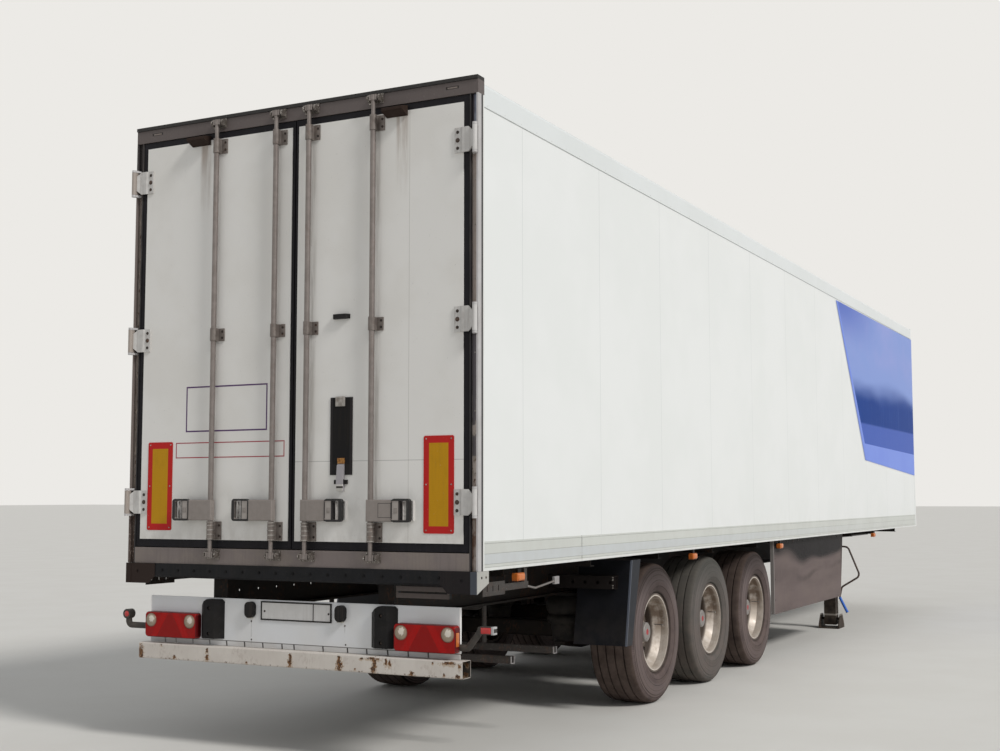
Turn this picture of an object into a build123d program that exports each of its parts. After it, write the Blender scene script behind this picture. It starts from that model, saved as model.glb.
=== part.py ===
from build123d import *
import os

# A refrigerated box semi trailer, in millimetres.
# X runs forward from the doors' outer face, Y to the left and Z up from the ground.
# Each piece is shifted back by middle_x as it is written, so the origin is under the middle.

# Box body
body_length = 13520
half_width = 1300
base_bottom = 1142
roof_top = 4010
wall_thickness = 60
roof_thickness = 85
front_wall_thickness = 100
front_corner_radius = 45
rail_skin = 4
base_rail_height = 168
cant_rail_height = 150
cant_rail_cover = 100
cant_corner_radius = 30
base_flange = 8
seat_gap = 0.3

# Coupling panel on the front wall: width, height and thickness, then its couplings
nose_plate = (640, 200, 8)
nose_rise = 90
nose_pitch = 125
air_coupling = (24, 46)
socket = (36, 34)

# Rear frame
frame_depth = 77
post_width = 57
post_flange = 12
post_inner_flange = 7
post_recess_depth = 22
header_rise = 26
header_height = 106
header_lip = 8
header_lip_height = 22
sill_height = 101
slot_lamp = (87, 16, 4)
slot_lamp_inset = 174

# Beam under the sill, with its end and corner plates
beam_gap = 1
beam_height = 88
beam_chamfer = 12
beam_rear = -10
beam_front = 110
end_plate_thickness = 6
end_plate_length = 132
end_plate_drop = (129, 72)
end_plate_hole_radius = 8
end_plate_holes = ((45, 37), (98, 37))
corner_plate_thickness = 4
corner_plate_width = 240
corner_plate_chamfer = 50
corner_plate_hole = (10, 98, 53)
corner_flange = (42, 2)

# Two-tier bracket under the beam, on the right
tier_inset = (555, 204)
tier_drops = (96, 136)
tier_bar = (28, 12)
tier_cheek = (8, 40)
tier_rear = 20

# Doors: the margins are the black seals round the white panel
door_thickness = 85
seal_side = 40
seal_top = 45
seal_bottom = 54
door_gap = 5
centre_gap = 7
seal_centre = 21.5
seal_lip_rear = 5
seal_lip_front = 45
seal_base = 10
seal_base_front = 80

# Hinges
hinge_inset = (238, 230)
hinge_pin_x = -30
hinge_pin_inset = 6
hinge_pin_radius = 7
hinge_barrel_radius = 15
hinge_barrel_height = 150
hinge_lug_height = 14
hinge_axial_gap = 1
hinge_bore_gap = 0.1
hinge_leaf_thickness = 10
hinge_leaf_reach = 56
hinge_leaf_standoff = 8
hinge_crank = 12
hinge_seat = 40
hinge_ear_drop = 28

# Locking gear
bar_inset = (100, 606)
bar_x = -36
bar_radius = 17
bar_end_radius = 13
guide_heights = (114, 80, 94)
guide_low_gap = 2
guide_middle_rise = 5
guide_top_gap = 9
guide_radius = 22
guide_foot = 62
guide_foot_thickness = 8
guide_web = (20, 14)
cam_reach = (36, 53)
cam_thickness = 34
cam_half_width = 27
cam_half_depth = 14
cam_waist = 7.7
cam_boss = 3
keeper_gap = 7
keeper_lug_width = 12
keeper_lug_height = 40
keeper_lug_reach = 46
keeper_lug_corner = 14
keeper_base = (6, 62)
keeper_margin = 6

# Lever housings, their grip loops and the trays behind them
lever_gap = 8
lever_height = 129
lever_skin = 3
lever_length = 215
lever_front_x = -22
lever_wall = 4
lever_edge = 6
loop_gap = 5
loop_height = 138
loop_reach = (158, 287)
loop_bars = (5, 24, 13)
loop_outer_x = -64
loop_depth = 24
loop_corner = 20
loop_hole_corner = 10
loop_edge = 4
tray_reach = (205, 282)
tray_margin = 6
tray_thickness = 14
tray_floor = 5
tray_rim = 5

# Door fittings
marker_plate = (3, 203, 568)
marker_plate_inset = 161
marker_plate_rise = 57
marker_plate_corner = 12
buffer_inset = (529, 383)
buffer_drop = 35
buffer_height = 65
buffer_proud = 70
buffer_slope = (30, 16)
buffer_edge = 4
strap_reach = (161, 319)
strap_rise = (401, 870)
strap_thickness = 6
latch_reach = (220, 264)
latch_rise = (306, 468)
latch_proud = 28
latch_knuckle = (40, 20)
latch_ear = (24, 14, 26)
pull_reach = (175, 295)
pull_rise = (1349, 1377)
pull_proud = 30
pull_slope = 14

# Bumper board and underrun bar
sheet = 4
board_rear = 64
board_depth = 16
board_inset = 150
board_z = (634, 930)
board_foot = (32, 5)
board_slit = 5
board_slits = (1027, 937, 801, 665, 531, 391, 250, 104, 14, -200, -377, -514, -660, -801, -937)
bar_rear = 7
bar_section = 100
bar_edge = 8
bar_bottom = 532
bar_side_inset = 105
bracket_width = 60
bracket_front = 200
bracket_slope = 50

# Lamps
lamp_gap = 2
lamp_length = 413
lamp_z = (670, 830)
lamp_depth = 58
lamp_corner = 24
lamp_edge = 8
lens_radius = 45
lens_depth = 3
lens_inset = 50
lens_rise = 108
side_lamp = (105, 34, 48)
side_lamp_drop = 35
side_lamp_stem = (44, 18)
side_lamp_edge = 9
side_lamp_inset = 38
side_lamp_first = 590
side_lamp_ahead = (728, 139)
side_lamp_last = 2820

# Dock buffers: base width, face width and depth, with two counterbored bolt holes
dock_buffer = (184, 84, 48)
dock_buffer_gap = 3
dock_buffer_z = (677, 923)
dock_buffer_cut = (75, 44)
dock_buffer_nick = (20, 15)
dock_buffer_bore = (12, 7, 14)
dock_buffer_bores = (31, 191)

# Plate holder and number lamps
plate_half = 263
plate_z = (806, 922)
plate_depth = 8
plate_rim = 8
plate_recess = 3
plate_rib = (-132, 6)
number_lamp = (66, 98, 34)
number_lamp_corner = 30
number_lamp_gap = 41
number_lamp_z = 867

# Marker arms: a round head on the left, a long one on the right
arm_radius = 20
arm_reach = 224
arm_left_path = ((0, 732), (193, 732), (193, 804))
arm_left_bend = 28
arm_left_head = (31, 50)
arm_right_path = ((0, 703), (50, 703), (135, 811))
arm_right_bend = 40
arm_right_head = (106, 44, 40)
arm_right_head_z = 807
arm_head_edge = 12

# Chassis
rail_y = 620
rail_width = 110
rail_flange = 14
rail_web = 8
rail_top = 1090
rail_bottom = 840
web_hole = (9, 300, 200)
web_hole_count = 9
neck_bottom = 1030
neck_back = 2420
neck_slope = 600
rail_end_gap = 220
cross_member_spacing = 1310
cross_member_first = 450
cross_member_width = 60
cross_member_wall = 6
kingpin_back = 1600
coupling_plate_reach = (670, 1280)
coupling_plate_thickness = 8
coupling_plate_corner = 60
kingpin_collar = (36.5, 35)
kingpin_neck = (25.4, 35)
kingpin_head = (35.75, 14)
kingpin_flange = (90, 10)
tank_radius = 123
tank_half_length = 380
tank_edge = 50
tank_members = (1, 5, 6)
tank_z = 885
tank_strap = (60, 40)

# Carrier rails, the slotted plates beside them and their pull levers
carrier_x = (720, 1340)
carrier_inset = 150
carrier_z = (540, 585)
carrier_width = 45
carrier_hanger = (12, 20)
slot_plate_inset = 38
slot_plate_thickness = 6
slot_plate_x = (130, 410, 729)
slot_plate_z = (990, 1010, 1050, 1070)
slot_plate_slots = (185, 256, 327)
slot_plate_slot = (9, 1016, 1048)
slot_plate_hangers = (150, 670)
slot_plate_hanger_width = 40
pull_lever_path = ((715, 1020), (831, 1002), (1140, 1032))
pull_lever_radius = 7
pull_lever_grip = (1102, 1176, 1009, 1058)

# Axles, wheels and suspension
axle_positions = (3065, 4375, 5685)
tyre_radius = 530
tyre_width = 385
tyre_crown = 6
tyre_shoulder = ((28, 22), (8, 34), (0, 52))
tyre_bulge = 20
wheel_inset = 255
rim_width = 322
rim_flange_radius = 298
rim_flange_width = 14
rim_seat_drop = 13
rim_well_drop = 52
rim_wall = 8
disc_offset = 20
disc_thickness = 14
hub_radius = 140
hub_cap_radius = 72
hub_cap_length = 70
hub_length = 150
hub_neck_radius = 95
spindle_radius = 45
spindle_gap = 0.1
spindle_end_gap = 1
brake_radius = 205
brake_thickness = 42
brake_gap = 6
brake_back = 60
axle_tube = 127
axle_edge = 18
axle_flange_radius = 75
axle_flange = 40
calliper_wall = (40, 24)
calliper_x = (110, 34)
calliper_height = 70
chamber_radius = 64
chamber_length = 150
chamber_ahead = 160
arm_width = 90
arm_thick = 56
arm_eye_radius = 40
hanger_ahead = 500
hanger_pivot_rise = 40
hanger_wall = 12
hanger_foot = (90, 120)
spring_behind = 380
spring_seat_drop = 50
spring_seat = 110
spring_seat_thickness = 24
spring_radius = 145
stub_radius = 20

# Landing legs and crank
leg_back = 2270
leg_inset = 335
leg_outer = 160
leg_inner = 138
leg_edge = 12
leg_bottom_tube = 420
leg_bottom = 40
gearbox = (160, 40)
gearbox_z = (880, 1040)
brace_thickness = 60
brace_z = (800, 860, 55)
cross_shaft_radius = 14
cross_shaft_z = 960
cross_shaft_seat = 20
cross_shaft_clearance = 6
shoe_size = (290, 240, 12)
shoe_wall = 10
shoe_height = 165
shoe_top = 110
shoe_pin = (16, 110)
crank_rod = 11
crank_boss = (19, 36)
crank_root = 12
crank_height = 975
crank_path = ((219, 964), (355, 622), (134, 486), (107, 363), (195, 186))
crank_bend = 60
crank_grip_radius = 15

# Side panels and mud flaps
panel_inset = 62
panel_depth = 34
panel_rear_gap = 30
panel_front_back = (500, 650)
panel_bottom = 425
panel_hanger_count = 3
panel_hanger_ends = (470, 360)
panel_hanger = (50, 16, 60)
flap_reach = (201, 38)
flap_z = (495, 1105)
flap_behind = (80, 200)
flap_thickness = 10
flap_cheek = (171, 109)
flap_cheek_thickness = 12
flap_channel_z = (895, 990)
flap_channel_behind = 155
flap_channel_outer = 100
flap_channel_holes = (820, 920, 1020, 1120)
flap_channel_hole = (12, 942)

# Refrigeration unit
unit_inset = 280
unit_z = (1640, 3900)
unit_depth = 430
unit_radius = 60
unit_edge = 25
unit_grilles = ((160, 900), (1050, 2100))
unit_grille_inset = 180
unit_grille_depth = 18
unit_slat = (74, 6, 14)
unit_slat_setback = 2

# Derived places
rail_bottom_flange_z = base_bottom + base_flange
floor_top = base_bottom + sill_height
header_top = roof_top + header_rise
opening_half = half_width - post_width
opening_bottom = base_bottom + sill_height
opening_top = header_top - header_height
wall_outer = half_width - rail_skin
wall_inner = wall_outer - wall_thickness
front_wall_x = body_length - front_wall_thickness
roof_bottom = roof_top - rail_skin - roof_thickness
door_outer = opening_half - seal_side
door_inner = centre_gap / 2 + seal_centre
door_bottom = opening_bottom + seal_bottom
door_top = opening_top - seal_top
beam_top = base_bottom - beam_gap
beam_bottom = beam_top - beam_height
hinge_pin_y = half_width - hinge_pin_inset
hinge_low = door_bottom + hinge_inset[0]
hinge_high = door_top - hinge_inset[1]
hinge_middle = (hinge_low + hinge_high) / 2
hinge_heights = (hinge_low, hinge_middle, hinge_high)
bar_offsets = (door_inner + bar_inset[0], door_outer - bar_inset[1])
guide_low = door_bottom + guide_low_gap
guide_mid = hinge_middle + guide_middle_rise
guide_high = door_top - guide_top_gap
guide_spans = ((guide_low, guide_low + guide_heights[0]),
               (guide_mid - guide_heights[1] / 2, guide_mid + guide_heights[1] / 2),
               (guide_high - guide_heights[2], guide_high))
cam_heights = (opening_bottom - cam_reach[0], opening_top + cam_reach[1])
lever_back = bar_radius + lever_skin
lever_outer_x = bar_x - bar_radius - lever_skin - lever_wall
lever_bottom = guide_spans[0][1] + lever_gap
lever_top = lever_bottom + lever_height
loop_bottom = guide_spans[0][1] + loop_gap
loop_top = loop_bottom + loop_height
board_half = half_width - board_inset
board_crease = board_z[0] + board_foot[0]
bar_half = half_width - bar_side_inset
lamp_y = (board_half - lamp_gap - lamp_length, board_half - lamp_gap)
dock_buffer_y = lamp_y[0] - dock_buffer_gap - dock_buffer[0] / 2
number_lamp_y = plate_half + number_lamp_gap + number_lamp[0] / 2
arm_x = board_rear + board_depth / 2
arm_tip_y = board_half + arm_reach
kingpin_x = body_length - kingpin_back
neck_start = kingpin_x - neck_back
rail_end = body_length - rail_end_gap
rail_side = rail_y + rail_width / 2
coupling_plate_x = (kingpin_x - coupling_plate_reach[0], kingpin_x + coupling_plate_reach[1])
carrier_half = half_width - carrier_inset
slot_plate_y = half_width - slot_plate_inset
wheel_y = half_width - wheel_inset
brake_inboard = wheel_y - hub_length - brake_back
hanger_pivot_z = tyre_radius + hanger_pivot_rise
spring_seat_z = tyre_radius - spring_seat_drop
leg_member = round((kingpin_x - leg_back - cross_member_first) / cross_member_spacing)
leg_x = cross_member_first + leg_member * cross_member_spacing + cross_member_width / 2
leg_y = half_width - leg_inset
panel_y = half_width - panel_inset
panel_rear = axle_positions[-1] + tyre_radius + panel_rear_gap
panel_front_top = leg_x - panel_front_back[0]
panel_front_bottom = leg_x - panel_front_back[1]
cross_member_half = panel_y - sheet - seat_gap
flap_y = (wheel_y - flap_reach[0], half_width - flap_reach[1])
tyre_rear = axle_positions[0] - tyre_radius
side_lamp_y = half_width - side_lamp_inset
side_lamp_top = base_bottom - side_lamp_drop
side_lamps = (side_lamp_first, axle_positions[0] + side_lamp_ahead[0], panel_rear + side_lamp_ahead[1],
              body_length - side_lamp_last)
unit_half = half_width - unit_inset
middle_x = (body_length + unit_depth + loop_outer_x) / 2
nodes = {}


def box(x, y, z):
    """A box between the two values of each axis."""
    size = [abs(b - a) for a, b in (x, y, z)]
    centre = [(a + b) / 2 for a, b in (x, y, z)]
    return Pos(*centre) * Box(*size)


def outline(points, radius=0):
    """A closed face through the points, its corners rounded."""
    face = make_face(Polyline(*points, close=True))
    return fillet(face.vertices(), radius) if radius else face


def along_x(face, x):
    """A face drawn in Y and Z, carried along X."""
    return extrude(Plane(origin=(min(x), 0, 0), x_dir=(0, 1, 0), z_dir=(1, 0, 0)) * face, abs(x[1] - x[0]))


def along_y(face, y):
    """A face drawn in X and Z, carried along Y."""
    return extrude(Plane(origin=(0, max(y), 0), x_dir=(1, 0, 0), z_dir=(0, -1, 0)) * face, abs(y[1] - y[0]))


def along_z(face, z):
    """A face drawn in X and Y, carried along Z."""
    return extrude(Pos(0, 0, min(z)) * face, abs(z[1] - z[0]))


def rod(start, end, radius):
    """A round bar between two points."""
    axis = Vector(*end) - Vector(*start)
    return extrude(Plane(origin=start, z_dir=axis) * Circle(radius), axis.length)


def bent_rod(points, radius, bend):
    """A round bar along straight runs, with an arc of at most the given radius at each corner."""
    runs = [(Vector(*b) - Vector(*a)).length for a, b in zip(points, points[1:])]
    radii = [min(bend, 0.45 * min(pair)) for pair in zip(runs, runs[1:])]
    path = FilletPolyline(*points, radius=radii)
    start = Plane(origin=points[0], z_dir=Vector(*points[1]) - Vector(*points[0]))
    return sweep(start * Circle(radius), path=path)


def turned(points):
    """A body turned about the Y axis from an outline in radius and Y."""
    return revolve(make_face(Polyline(*points, close=True)), Axis.Y)


def other_side(shape):
    return mirror(shape, about=Plane.XZ)


def both(shape):
    return [shape, other_side(shape)]


def keep(name, *shapes):
    """Store the solids of one node, shifted to the part's own origin."""
    solids = [s for shape in shapes for s in (shape.solids() if hasattr(shape, "solids") else shape)]
    nodes[name] = [s.moved(Location((-middle_x, 0, 0))) for s in solids]


def box_body():
    inner = (frame_depth, front_wall_x)
    keep("floor", box(inner, (-wall_inner, wall_inner), (rail_bottom_flange_z, floor_top)))
    wall = box(inner, (wall_inner, wall_outer), (rail_bottom_flange_z, roof_bottom))
    keep("wall_left", wall)
    keep("wall_right", other_side(wall))

    roof_high = roof_top - rail_skin
    roof_section = outline([(-wall_outer, roof_bottom), (wall_outer, roof_bottom),
                            (wall_outer, roof_high), (-wall_outer, roof_high)])
    upper = roof_section.vertices().group_by(Axis.Y)[-1]
    keep("roof", along_x(fillet(upper, cant_corner_radius - rail_skin), inner))

    front = box((front_wall_x, body_length), (-half_width, half_width), (base_bottom, roof_top))
    corners = front.edges().filter_by(Axis.Z).group_by(Axis.X)[-1]
    keep("front_wall", fillet(corners, front_corner_radius), coupling_panel())

    base = outline([(half_width, base_bottom), (half_width, base_bottom + base_rail_height),
                    (wall_outer, base_bottom + base_rail_height), (wall_outer, rail_bottom_flange_z),
                    (wall_inner, rail_bottom_flange_z), (wall_inner, base_bottom)])
    keep("base_rails", *both(along_x(base, inner)))

    low = roof_top - cant_rail_height
    edge = half_width - cant_rail_cover
    skin = outline([(edge, low), (half_width, low), (half_width, roof_top), (edge, roof_top)])
    skin = fillet(skin.vertices().sort_by(lambda v: v.X + v.Y)[-1], cant_corner_radius)
    core = outline([(edge, low), (wall_outer, low), (wall_outer, roof_high), (edge, roof_high)])
    core = fillet(core.vertices().sort_by(lambda v: v.X + v.Y)[-1], cant_corner_radius - rail_skin)
    keep("cant_rails", *both(along_x(skin - core, inner)))


def coupling_panel():
    """Two air couplings and three sockets on a plate, low on the front wall."""
    width, height, thickness = nose_plate
    rear = body_length + seat_gap
    front = rear + thickness
    low = base_bottom + nose_rise
    panel = box((rear, front), (-width / 2, width / 2), (low, low + height))
    panel = fillet(panel.edges().filter_by(Axis.X), nose_rise / 4)
    for place in (-2, -1, 0, 1, 2):
        radius, length = air_coupling if place % 2 else socket
        centre = (place * nose_pitch, low + height / 2)
        panel += rod((rear, *centre), (front + length, *centre), radius)
    return panel


def rear_frame():
    section = outline([(0, opening_half), (frame_depth, opening_half), (frame_depth, half_width),
                       (0, half_width), (0, half_width - post_flange),
                       (post_recess_depth, half_width - post_flange),
                       (post_recess_depth, opening_half + post_inner_flange),
                       (0, opening_half + post_inner_flange)])
    post = along_z(section, (base_bottom, opening_top))
    for height in hinge_heights:
        post += hinge_lugs(height)
    keep("rear_posts", *both(post))

    header = outline([(0, opening_top), (frame_depth, opening_top), (frame_depth, header_top),
                      (-header_lip, header_top), (-header_lip, header_top - header_lip_height),
                      (0, header_top - header_lip_height)])
    header = along_y(header, (-half_width, half_width))
    width, height, depth = slot_lamp
    bottom = (opening_top + header_top - header_lip_height) / 2
    for y in (half_width - slot_lamp_inset, slot_lamp_inset - half_width):
        header -= box((0, depth), (y - width / 2, y + width / 2), (bottom, bottom + height))
    keep("rear_header", header)
    keep("rear_sill", box((0, frame_depth), (-opening_half, opening_half), (base_bottom, opening_bottom)))

    beam = outline([(beam_rear, beam_bottom + beam_chamfer), (beam_rear + beam_chamfer, beam_bottom),
                    (beam_front, beam_bottom), (beam_front, beam_top), (beam_rear, beam_top)])
    beam = along_y(beam, (end_plate_thickness - half_width, half_width - end_plate_thickness))
    ends = end_plate() + corner_plate()
    keep("rear_beam", beam + ends + other_side(ends) + tier_bracket())


def end_plate():
    """The plate that closes the left end of the beam, deeper at the rear."""
    rear_drop, front_drop = end_plate_drop
    side = outline([(beam_rear, beam_top), (beam_rear, base_bottom - rear_drop),
                    (end_plate_length, base_bottom - front_drop), (end_plate_length, beam_top)])
    for x, drop in end_plate_holes:
        side -= Pos(x, base_bottom - drop) * Circle(end_plate_hole_radius)
    return along_y(side, (half_width - end_plate_thickness, half_width))


def corner_plate():
    """The plate on the rear face of the beam at its left end, with a raised outer flange."""
    low = base_bottom - end_plate_drop[0]
    inner = half_width - corner_plate_width
    rear = beam_rear - corner_plate_thickness
    face = outline([(half_width, low), (half_width, beam_top), (inner, beam_top),
                    (inner, low + corner_plate_chamfer), (inner + corner_plate_chamfer, low)])
    radius, inset, drop = corner_plate_hole
    face -= Pos(half_width - inset, base_bottom - drop) * Circle(radius)
    width, raised = corner_flange
    flange = box((rear - raised, rear), (half_width - width, half_width), (low, beam_top))
    return along_x(face, (rear, beam_rear)) + flange


def tier_bracket():
    """Two flat bars one above the other, between cheeks that hang from the beam."""
    height, depth = tier_bar
    cheek, reach = tier_cheek
    outer = tier_inset[1] - half_width
    inner = tier_inset[0] - half_width
    upper, lower = (base_bottom - drop for drop in tier_drops)
    bracket = box((tier_rear, tier_rear + depth), (outer, inner), (upper - height, upper))
    bracket += box((tier_rear, tier_rear + depth), (outer, inner), (lower - height, lower))
    for y in (outer, inner - cheek):
        bracket += box((tier_rear, tier_rear + reach), (y, y + cheek), (lower - height, beam_bottom))
    return bracket


def hinge_lugs(height):
    """Two lugs and the pin between them, out of the post's recess, for the left door."""
    y = hinge_pin_y
    root = outline([(post_recess_depth, opening_half + post_flange),
                    (post_recess_depth, half_width - 1.4 * post_flange),
                    (hinge_pin_x, y + hinge_barrel_radius), (hinge_pin_x, y - hinge_barrel_radius)])
    lug = root + Pos(hinge_pin_x, y) * Circle(hinge_barrel_radius)
    half = hinge_barrel_height / 2 + hinge_axial_gap
    outer = half + hinge_lug_height
    pin = Pos(hinge_pin_x, y) * Circle(hinge_pin_radius)
    return (along_z(lug, (height + half, height + outer)) + along_z(lug, (height - outer, height - half))
            + along_z(pin, (height - half, height + half)))


def hinge_leaf(height):
    """The moving half of a hinge: a cranked plate on the door that ends in the barrel."""
    thick = hinge_leaf_thickness
    stand = hinge_leaf_standoff
    radius = hinge_barrel_radius
    y = hinge_pin_y
    inner = door_outer - hinge_leaf_reach
    bend = hinge_crank / 2
    plate = outline([(0, inner), (0, door_outer - bend), (-stand, door_outer + bend),
                     (-stand, y - 2 * radius), (hinge_pin_x + radius, y), (hinge_pin_x, y),
                     (hinge_pin_x, y - radius), (-stand - thick, y - 2 * radius - hinge_crank),
                     (-stand - thick, door_outer - bend + 4),
                     (-thick, door_outer - bend - 8), (-thick, inner)])
    section = plate + Pos(hinge_pin_x, y) * Circle(radius)
    section -= Pos(hinge_pin_x, y) * Circle(hinge_pin_radius + hinge_bore_gap)
    half = hinge_barrel_height / 2
    leaf = along_z(section, (height - half, height + half))
    ear = y - radius - 3
    start = door_outer + hinge_seat
    for end in (-1, 1):
        corner = outline([(start, end * half), (ear, end * half), (ear, end * (half - hinge_ear_drop))])
        corner = along_x(corner, (hinge_pin_x - radius, 0))
        leaf -= Pos(0, 0, height) * corner
    return leaf


def lock_bar(offset):
    """A bar with its slimmer ends and the waisted cams that turn into the keepers."""
    bottom, top = guide_spans[0][0], guide_spans[-1][1]
    low_cam, high_cam = cam_heights
    half = cam_thickness / 2
    spot = Pos(bar_x, offset)
    bar = along_z(spot * Circle(bar_radius), (bottom, top))
    bar += along_z(spot * Circle(bar_end_radius), (low_cam - half, bottom))
    bar += along_z(spot * Circle(bar_end_radius), (top, high_cam + half))
    cam = outline([(-cam_half_depth, -cam_half_width), (cam_half_depth, -cam_half_width),
                   (cam_waist, 0), (cam_half_depth, cam_half_width), (-cam_half_depth, cam_half_width),
                   (-cam_waist, 0)], cam_boss)
    cam += Circle(bar_end_radius + cam_boss)
    for height in cam_heights:
        bar += along_z(spot * cam, (height - half, height + half))
    return bar


def bar_guide(offset, span):
    """A sleeve round the bar on a web, with a foot to one side for its bolts."""
    low, high = guide_web
    sleeve = Pos(bar_x, offset) * Circle(guide_radius)
    web = outline([(bar_x, offset - high), (0, offset - low), (0, offset + high), (bar_x, offset + high)])
    foot = outline([(-guide_foot_thickness, offset - guide_foot), (0, offset - guide_foot),
                    (0, offset + guide_radius), (-guide_foot_thickness, offset + guide_radius)])
    bore = Pos(bar_x, offset) * Circle(bar_radius + seat_gap)
    return along_z(sleeve + web + foot - bore, span)


def keeper(offset, height):
    """Two lugs on a base, one each side of a cam."""
    inner = cam_half_width + keeper_gap
    outer = inner + keeper_lug_width
    edge = outer + keeper_margin
    base_thickness, base_height = keeper_base
    piece = box((-base_thickness, 0), (offset - edge, offset + edge),
                (height - base_height / 2, height + base_height / 2))
    half = keeper_lug_height / 2
    reach = keeper_lug_reach
    cut = keeper_lug_corner
    lug = outline([(0, -half), (cut - reach, -half), (-reach, cut - half),
                   (-reach, half - cut), (cut - reach, half), (0, half)])
    for side in (-1, 1):
        lug_solid = along_y(lug, (offset + side * inner, offset + side * outer))
        piece += Pos(0, 0, height) * lug_solid
    return piece


def lock_lever(offset):
    """A pressed housing round the bar, its free end framed by a rounded grip loop."""
    inner = offset - lever_back
    end = offset + lever_length
    wall = lever_wall
    shell = box((lever_outer_x, lever_front_x), (inner, end), (lever_bottom, lever_top))
    shell = fillet(shell.edges().group_by(Axis.X)[0], lever_edge)
    shell -= box((lever_outer_x + wall, lever_front_x), (inner + wall, end - wall),
                 (lever_bottom + wall, lever_top - wall))
    shell -= along_z(Pos(bar_x, offset) * Circle(bar_radius + seat_gap), (lever_bottom - 1, lever_top + 1))
    near, far = (offset + reach for reach in loop_reach)
    near_bar, far_bar, edge_bar = loop_bars
    middle = (loop_bottom + loop_top) / 2
    frame = Pos((near + far) / 2, middle) * RectangleRounded(far - near, loop_height, loop_corner)
    loop = along_x(frame, (loop_outer_x, loop_outer_x + loop_depth))
    loop = fillet(loop.edges().group_by(Axis.X)[0], loop_edge)
    near += near_bar
    far -= far_bar
    hole = RectangleRounded(far - near, loop_height - 2 * edge_bar, loop_hole_corner)
    loop -= along_x(Pos((near + far) / 2, middle) * hole, (loop_outer_x, loop_outer_x + loop_depth))
    return shell + loop


def lever_tray(offset):
    """The pale dish on the door behind a grip loop."""
    y = (offset + tray_reach[0], offset + tray_reach[1])
    z = (lever_bottom + tray_margin, lever_top - tray_margin)
    dish = box((-tray_thickness, 0), y, z)
    return dish - box((-tray_thickness, -tray_floor), (y[0] + tray_rim, y[1] - tray_rim),
                      (z[0] + tray_rim, z[1] - tray_rim))


def door_panel():
    return box((0, door_thickness), (door_inner, door_outer), (door_bottom, door_top))


def door_seal():
    """A ring round the panel: a thin base with an outer lip near the outside."""
    def ring(x, side, centre, low, high):
        outer = box(x, (door_inner - centre, door_outer + side), (door_bottom - low, door_top + high))
        return outer - box(x, (door_inner, door_outer), (door_bottom, door_top))
    lip = ring((seal_lip_rear, seal_lip_front), seal_side - door_gap, seal_centre,
               seal_bottom - door_gap, seal_top - door_gap)
    base = ring((seal_lip_rear, seal_base_front), seal_base, seal_base, seal_base, seal_base)
    return lip + base


def door_buffer():
    low = door_top - buffer_drop
    high = low + buffer_height
    wedge = outline([(0, low), (-buffer_proud, low + buffer_slope[0]),
                     (-buffer_proud, high - buffer_slope[1]), (0, high)], buffer_edge)
    return along_y(wedge, (door_outer - buffer_inset[0], door_outer - buffer_inset[1]))


def reflective_plate():
    thick, width, height = marker_plate
    middle = door_outer - marker_plate_inset
    low = door_bottom + marker_plate_rise
    plate = box((-thick, 0), (middle - width / 2, middle + width / 2), (low, low + height))
    return fillet(plate.edges().filter_by(Axis.X), marker_plate_corner)


def right_fittings():
    """The strap with its latch and the small pull, drawn for the left and mirrored."""
    bar = bar_offsets[0]
    strap_y, latch_y, pull_y = ([bar + r for r in pair] for pair in (strap_reach, latch_reach, pull_reach))
    strap_z, latch_z, pull_z = ([door_bottom + r for r in pair] for pair in (strap_rise, latch_rise, pull_rise))
    strap = box((-strap_thickness, 0), strap_y, strap_z)
    low, high = latch_z
    knuckle = low + latch_knuckle[0]
    tip = latch_knuckle[1]
    latch = outline([(-strap_thickness, high), (-tip, high - 10), (-latch_proud, knuckle), (-tip, low),
                     (0, low), (0, strap_z[0] - 10), (-strap_thickness, strap_z[0])])
    latch = along_y(latch, latch_y)
    reach, proud, height = latch_ear
    ears = box((-proud, 0), (latch_y[0] - reach, latch_y[1] + reach), (knuckle, knuckle + height))
    near, far = pull_y
    pull = outline([(0, near), (-pull_proud, near + pull_slope), (-pull_proud, far - pull_slope), (0, far)])
    return [strap + latch + ears, along_z(pull, pull_z)]


def doors():
    """The left door's pieces, and the same mirrored for the right door."""
    extra = {"door_left": [], "door_right": [other_side(s) for s in right_fittings()]}
    for name, place in (("door_left", lambda s: s), ("door_right", other_side)):
        keep(name, place(door_panel()))
        keep(name + "_seal", place(door_seal()))
        keep(name + "_lock_bars", *[place(lock_bar(y)) for y in bar_offsets])
        side = 1 if name == "door_left" else -1
        guides = [bar_guide(side * y, span) for y in bar_offsets for span in guide_spans]
        keep(name + "_bar_guides", *guides)
        levers = [place(piece(y)) for y in bar_offsets for piece in (lock_lever, lever_tray)]
        keep(name + "_lock_handles", *levers)
        keep(name + "_hinge_leaves", *[place(hinge_leaf(z)) for z in hinge_heights])
        keep(name + "_fittings", place(door_buffer()), place(reflective_plate()), *extra[name])
    keepers = [keeper(side * y, z) for side in (-1, 1) for y in bar_offsets for z in cam_heights]
    keep("lock_keepers", *keepers)


def bumper():
    bumper_board()
    underrun_bar()
    lamps()
    dock_buffers()
    plate_holder()
    marker_arms()


def bumper_board():
    """A folded sheet with a slit foot that leans in over the bar."""
    rear = board_rear
    front = board_rear + board_depth
    low, high = board_z
    lean = board_foot[1]
    section = outline([(rear, high), (rear, board_crease), (rear + lean, low), (rear + lean + sheet, low),
                       (rear + sheet, board_crease), (rear + sheet, high - sheet), (front, high - sheet),
                       (front, high)])
    board = along_y(section, (-board_half, board_half))
    for side in (-1, 1):
        board += box((rear, front), (side * board_half, side * (board_half - sheet)), (board_crease, high))
    for y in board_slits:
        board -= box((rear - 1, front), (y - board_slit / 2, y + board_slit / 2), (low - 1, board_crease))
    keep("bumper_board", board)


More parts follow.
